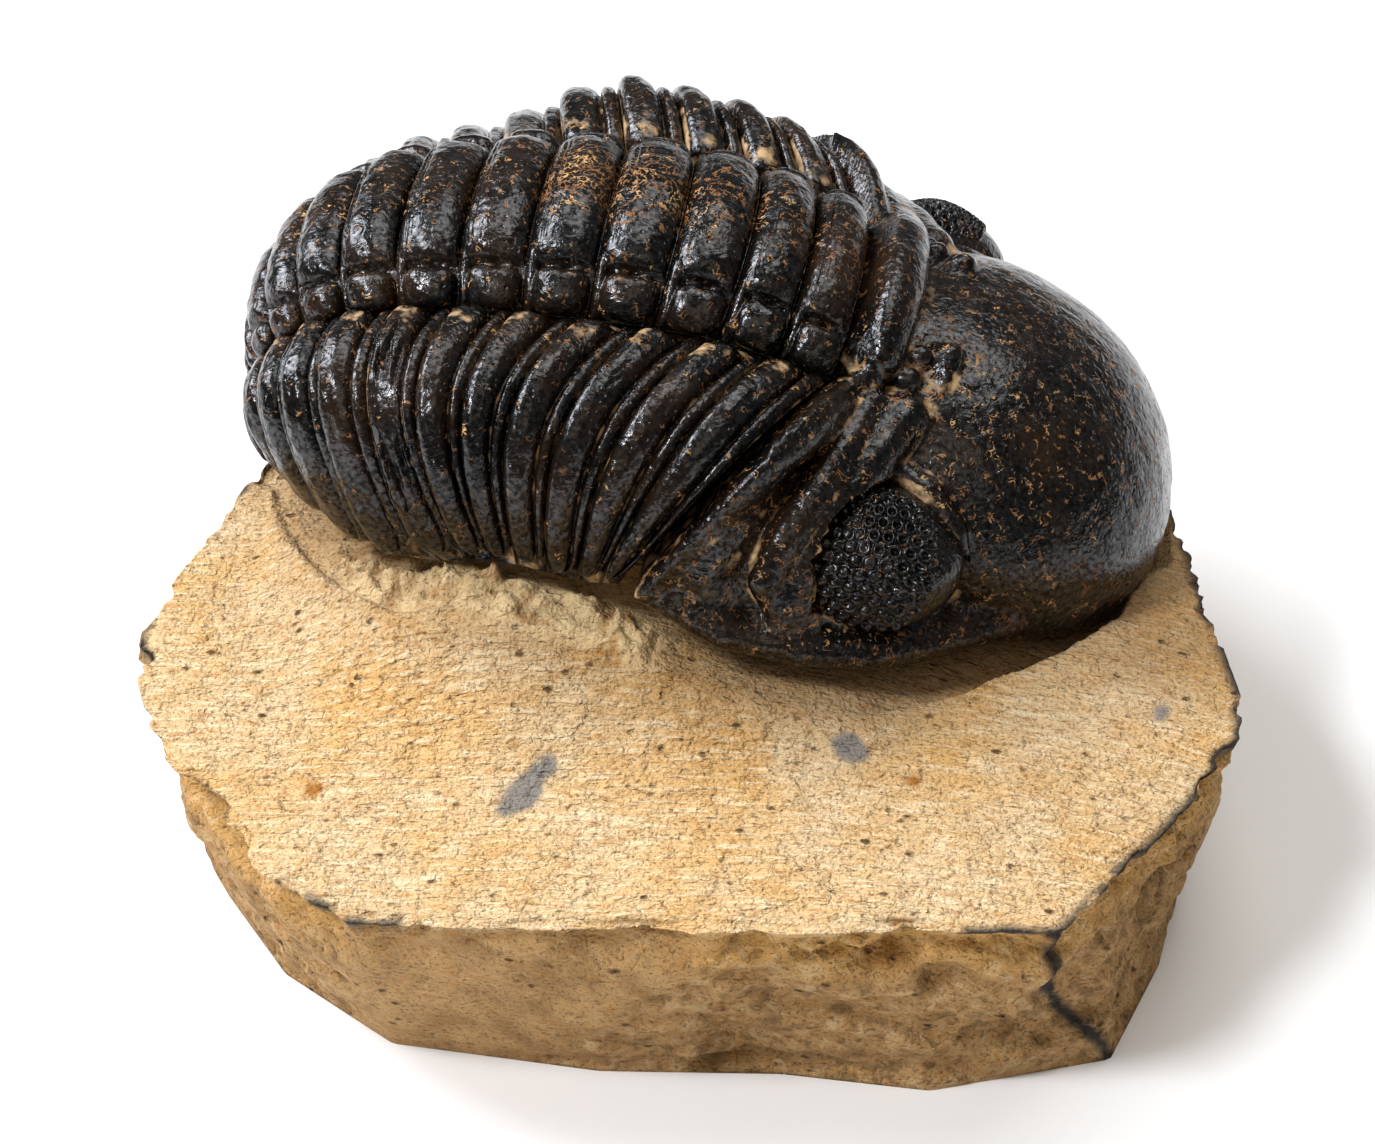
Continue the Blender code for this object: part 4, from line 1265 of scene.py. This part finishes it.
def add_softbox(name, target, bearing, elevation, distance, size, tint, power):
    """A square light that faces the target."""
    light = bpy.data.lights.new(name, "AREA")
    light.shape = "SQUARE"
    light.size = size
    light.energy = power
    light.color = linear(tint)[:3]
    box = bpy.data.objects.new(name, light)
    bpy.context.scene.collection.objects.link(box)
    aim(box, target, math.radians(bearing), math.radians(elevation), distance)


class FOSSIL_OT_stage(bpy.types.Operator):
    """Lay the floor and set the lights and the camera"""

    bl_idname = "fossil.stage"
    bl_label = "Floor, lights and camera"

    def execute(self, context):
        scene = context.scene
        stage = scene.fossil_stage
        target = (Vector(FRAME_SHIFT) + Vector(CAMERA_TARGET)) * MM
        paper = bmesh.new()
        bmesh.ops.create_grid(paper, x_segments=8, y_segments=8, size=stage.floor_size / 2)
        mesh = bpy.data.meshes.new("floor")
        paper.to_mesh(mesh)
        paper.free()
        mesh.materials.append(finish_of("pale_paper", pale_paper, scene.fossil_colours))
        floor = bpy.data.objects.new("floor", mesh)
        scene.collection.objects.link(floor)
        for name, placing in SOFTBOXES.items():
            add_softbox(name, target, *placing, getattr(stage, name))
        world = bpy.data.worlds.new("studio")
        scene.world = world
        world.use_nodes = True
        sky = world.node_tree.nodes["Background"]
        sky.inputs["Color"].default_value = linear("FFFFFF")
        sky.inputs["Strength"].default_value = stage.sky
        camera = bpy.data.cameras.new("camera")
        camera.lens = stage.lens
        eye = bpy.data.objects.new("camera", camera)
        scene.collection.objects.link(eye)
        aim(eye, target, stage.azimuth, stage.elevation, stage.distance)
        scene.camera = eye
        scene.view_settings.view_transform = "Standard"
        return {"FINISHED"}


PIECE_OPERATORS = (FOSSIL_OT_stone, FOSSIL_OT_head, FOSSIL_OT_eyes, FOSSIL_OT_thorax, FOSSIL_OT_tail)


class FOSSIL_PT_panel(bpy.types.Panel):
    """The fossil's pieces, sizes and colours"""

    bl_idname = "FOSSIL_PT_panel"
    bl_label = "Trilobite fossil"
    bl_space_type = "VIEW_3D"
    bl_region_type = "UI"
    bl_category = "Fossil"

    def draw(self, context):
        for group in (context.scene.fossil_sizes, context.scene.fossil_colours, context.scene.fossil_stage):
            box = self.layout.box()
            for name in group.bl_rna.properties.keys():
                if name not in ("rna_type", "name"):
                    box.prop(group, name)
        for operator in PIECE_OPERATORS + (FOSSIL_OT_stage,):
            self.layout.operator(operator.bl_idname)


GROUPS = {"fossil_sizes": FossilSizes, "fossil_colours": FossilColours, "fossil_stage": FossilStage}
CLASSES = (*GROUPS.values(), *PIECE_OPERATORS, FOSSIL_OT_stage, FOSSIL_PT_panel)


def register():
    for item in CLASSES:
        bpy.utils.register_class(item)
    for name, group in GROUPS.items():
        setattr(bpy.types.Scene, name, PointerProperty(type=group))


def unregister():
    for name in GROUPS:
        delattr(bpy.types.Scene, name)
    for item in reversed(CLASSES):
        bpy.utils.unregister_class(item)


def main():
    register()
    bpy.ops.fossil.stone()
    bpy.ops.fossil.head()
    bpy.ops.fossil.eyes()
    bpy.ops.fossil.thorax()
    bpy.ops.fossil.tail()
    bpy.ops.fossil.stage()


if __name__ == "__main__":
    main()
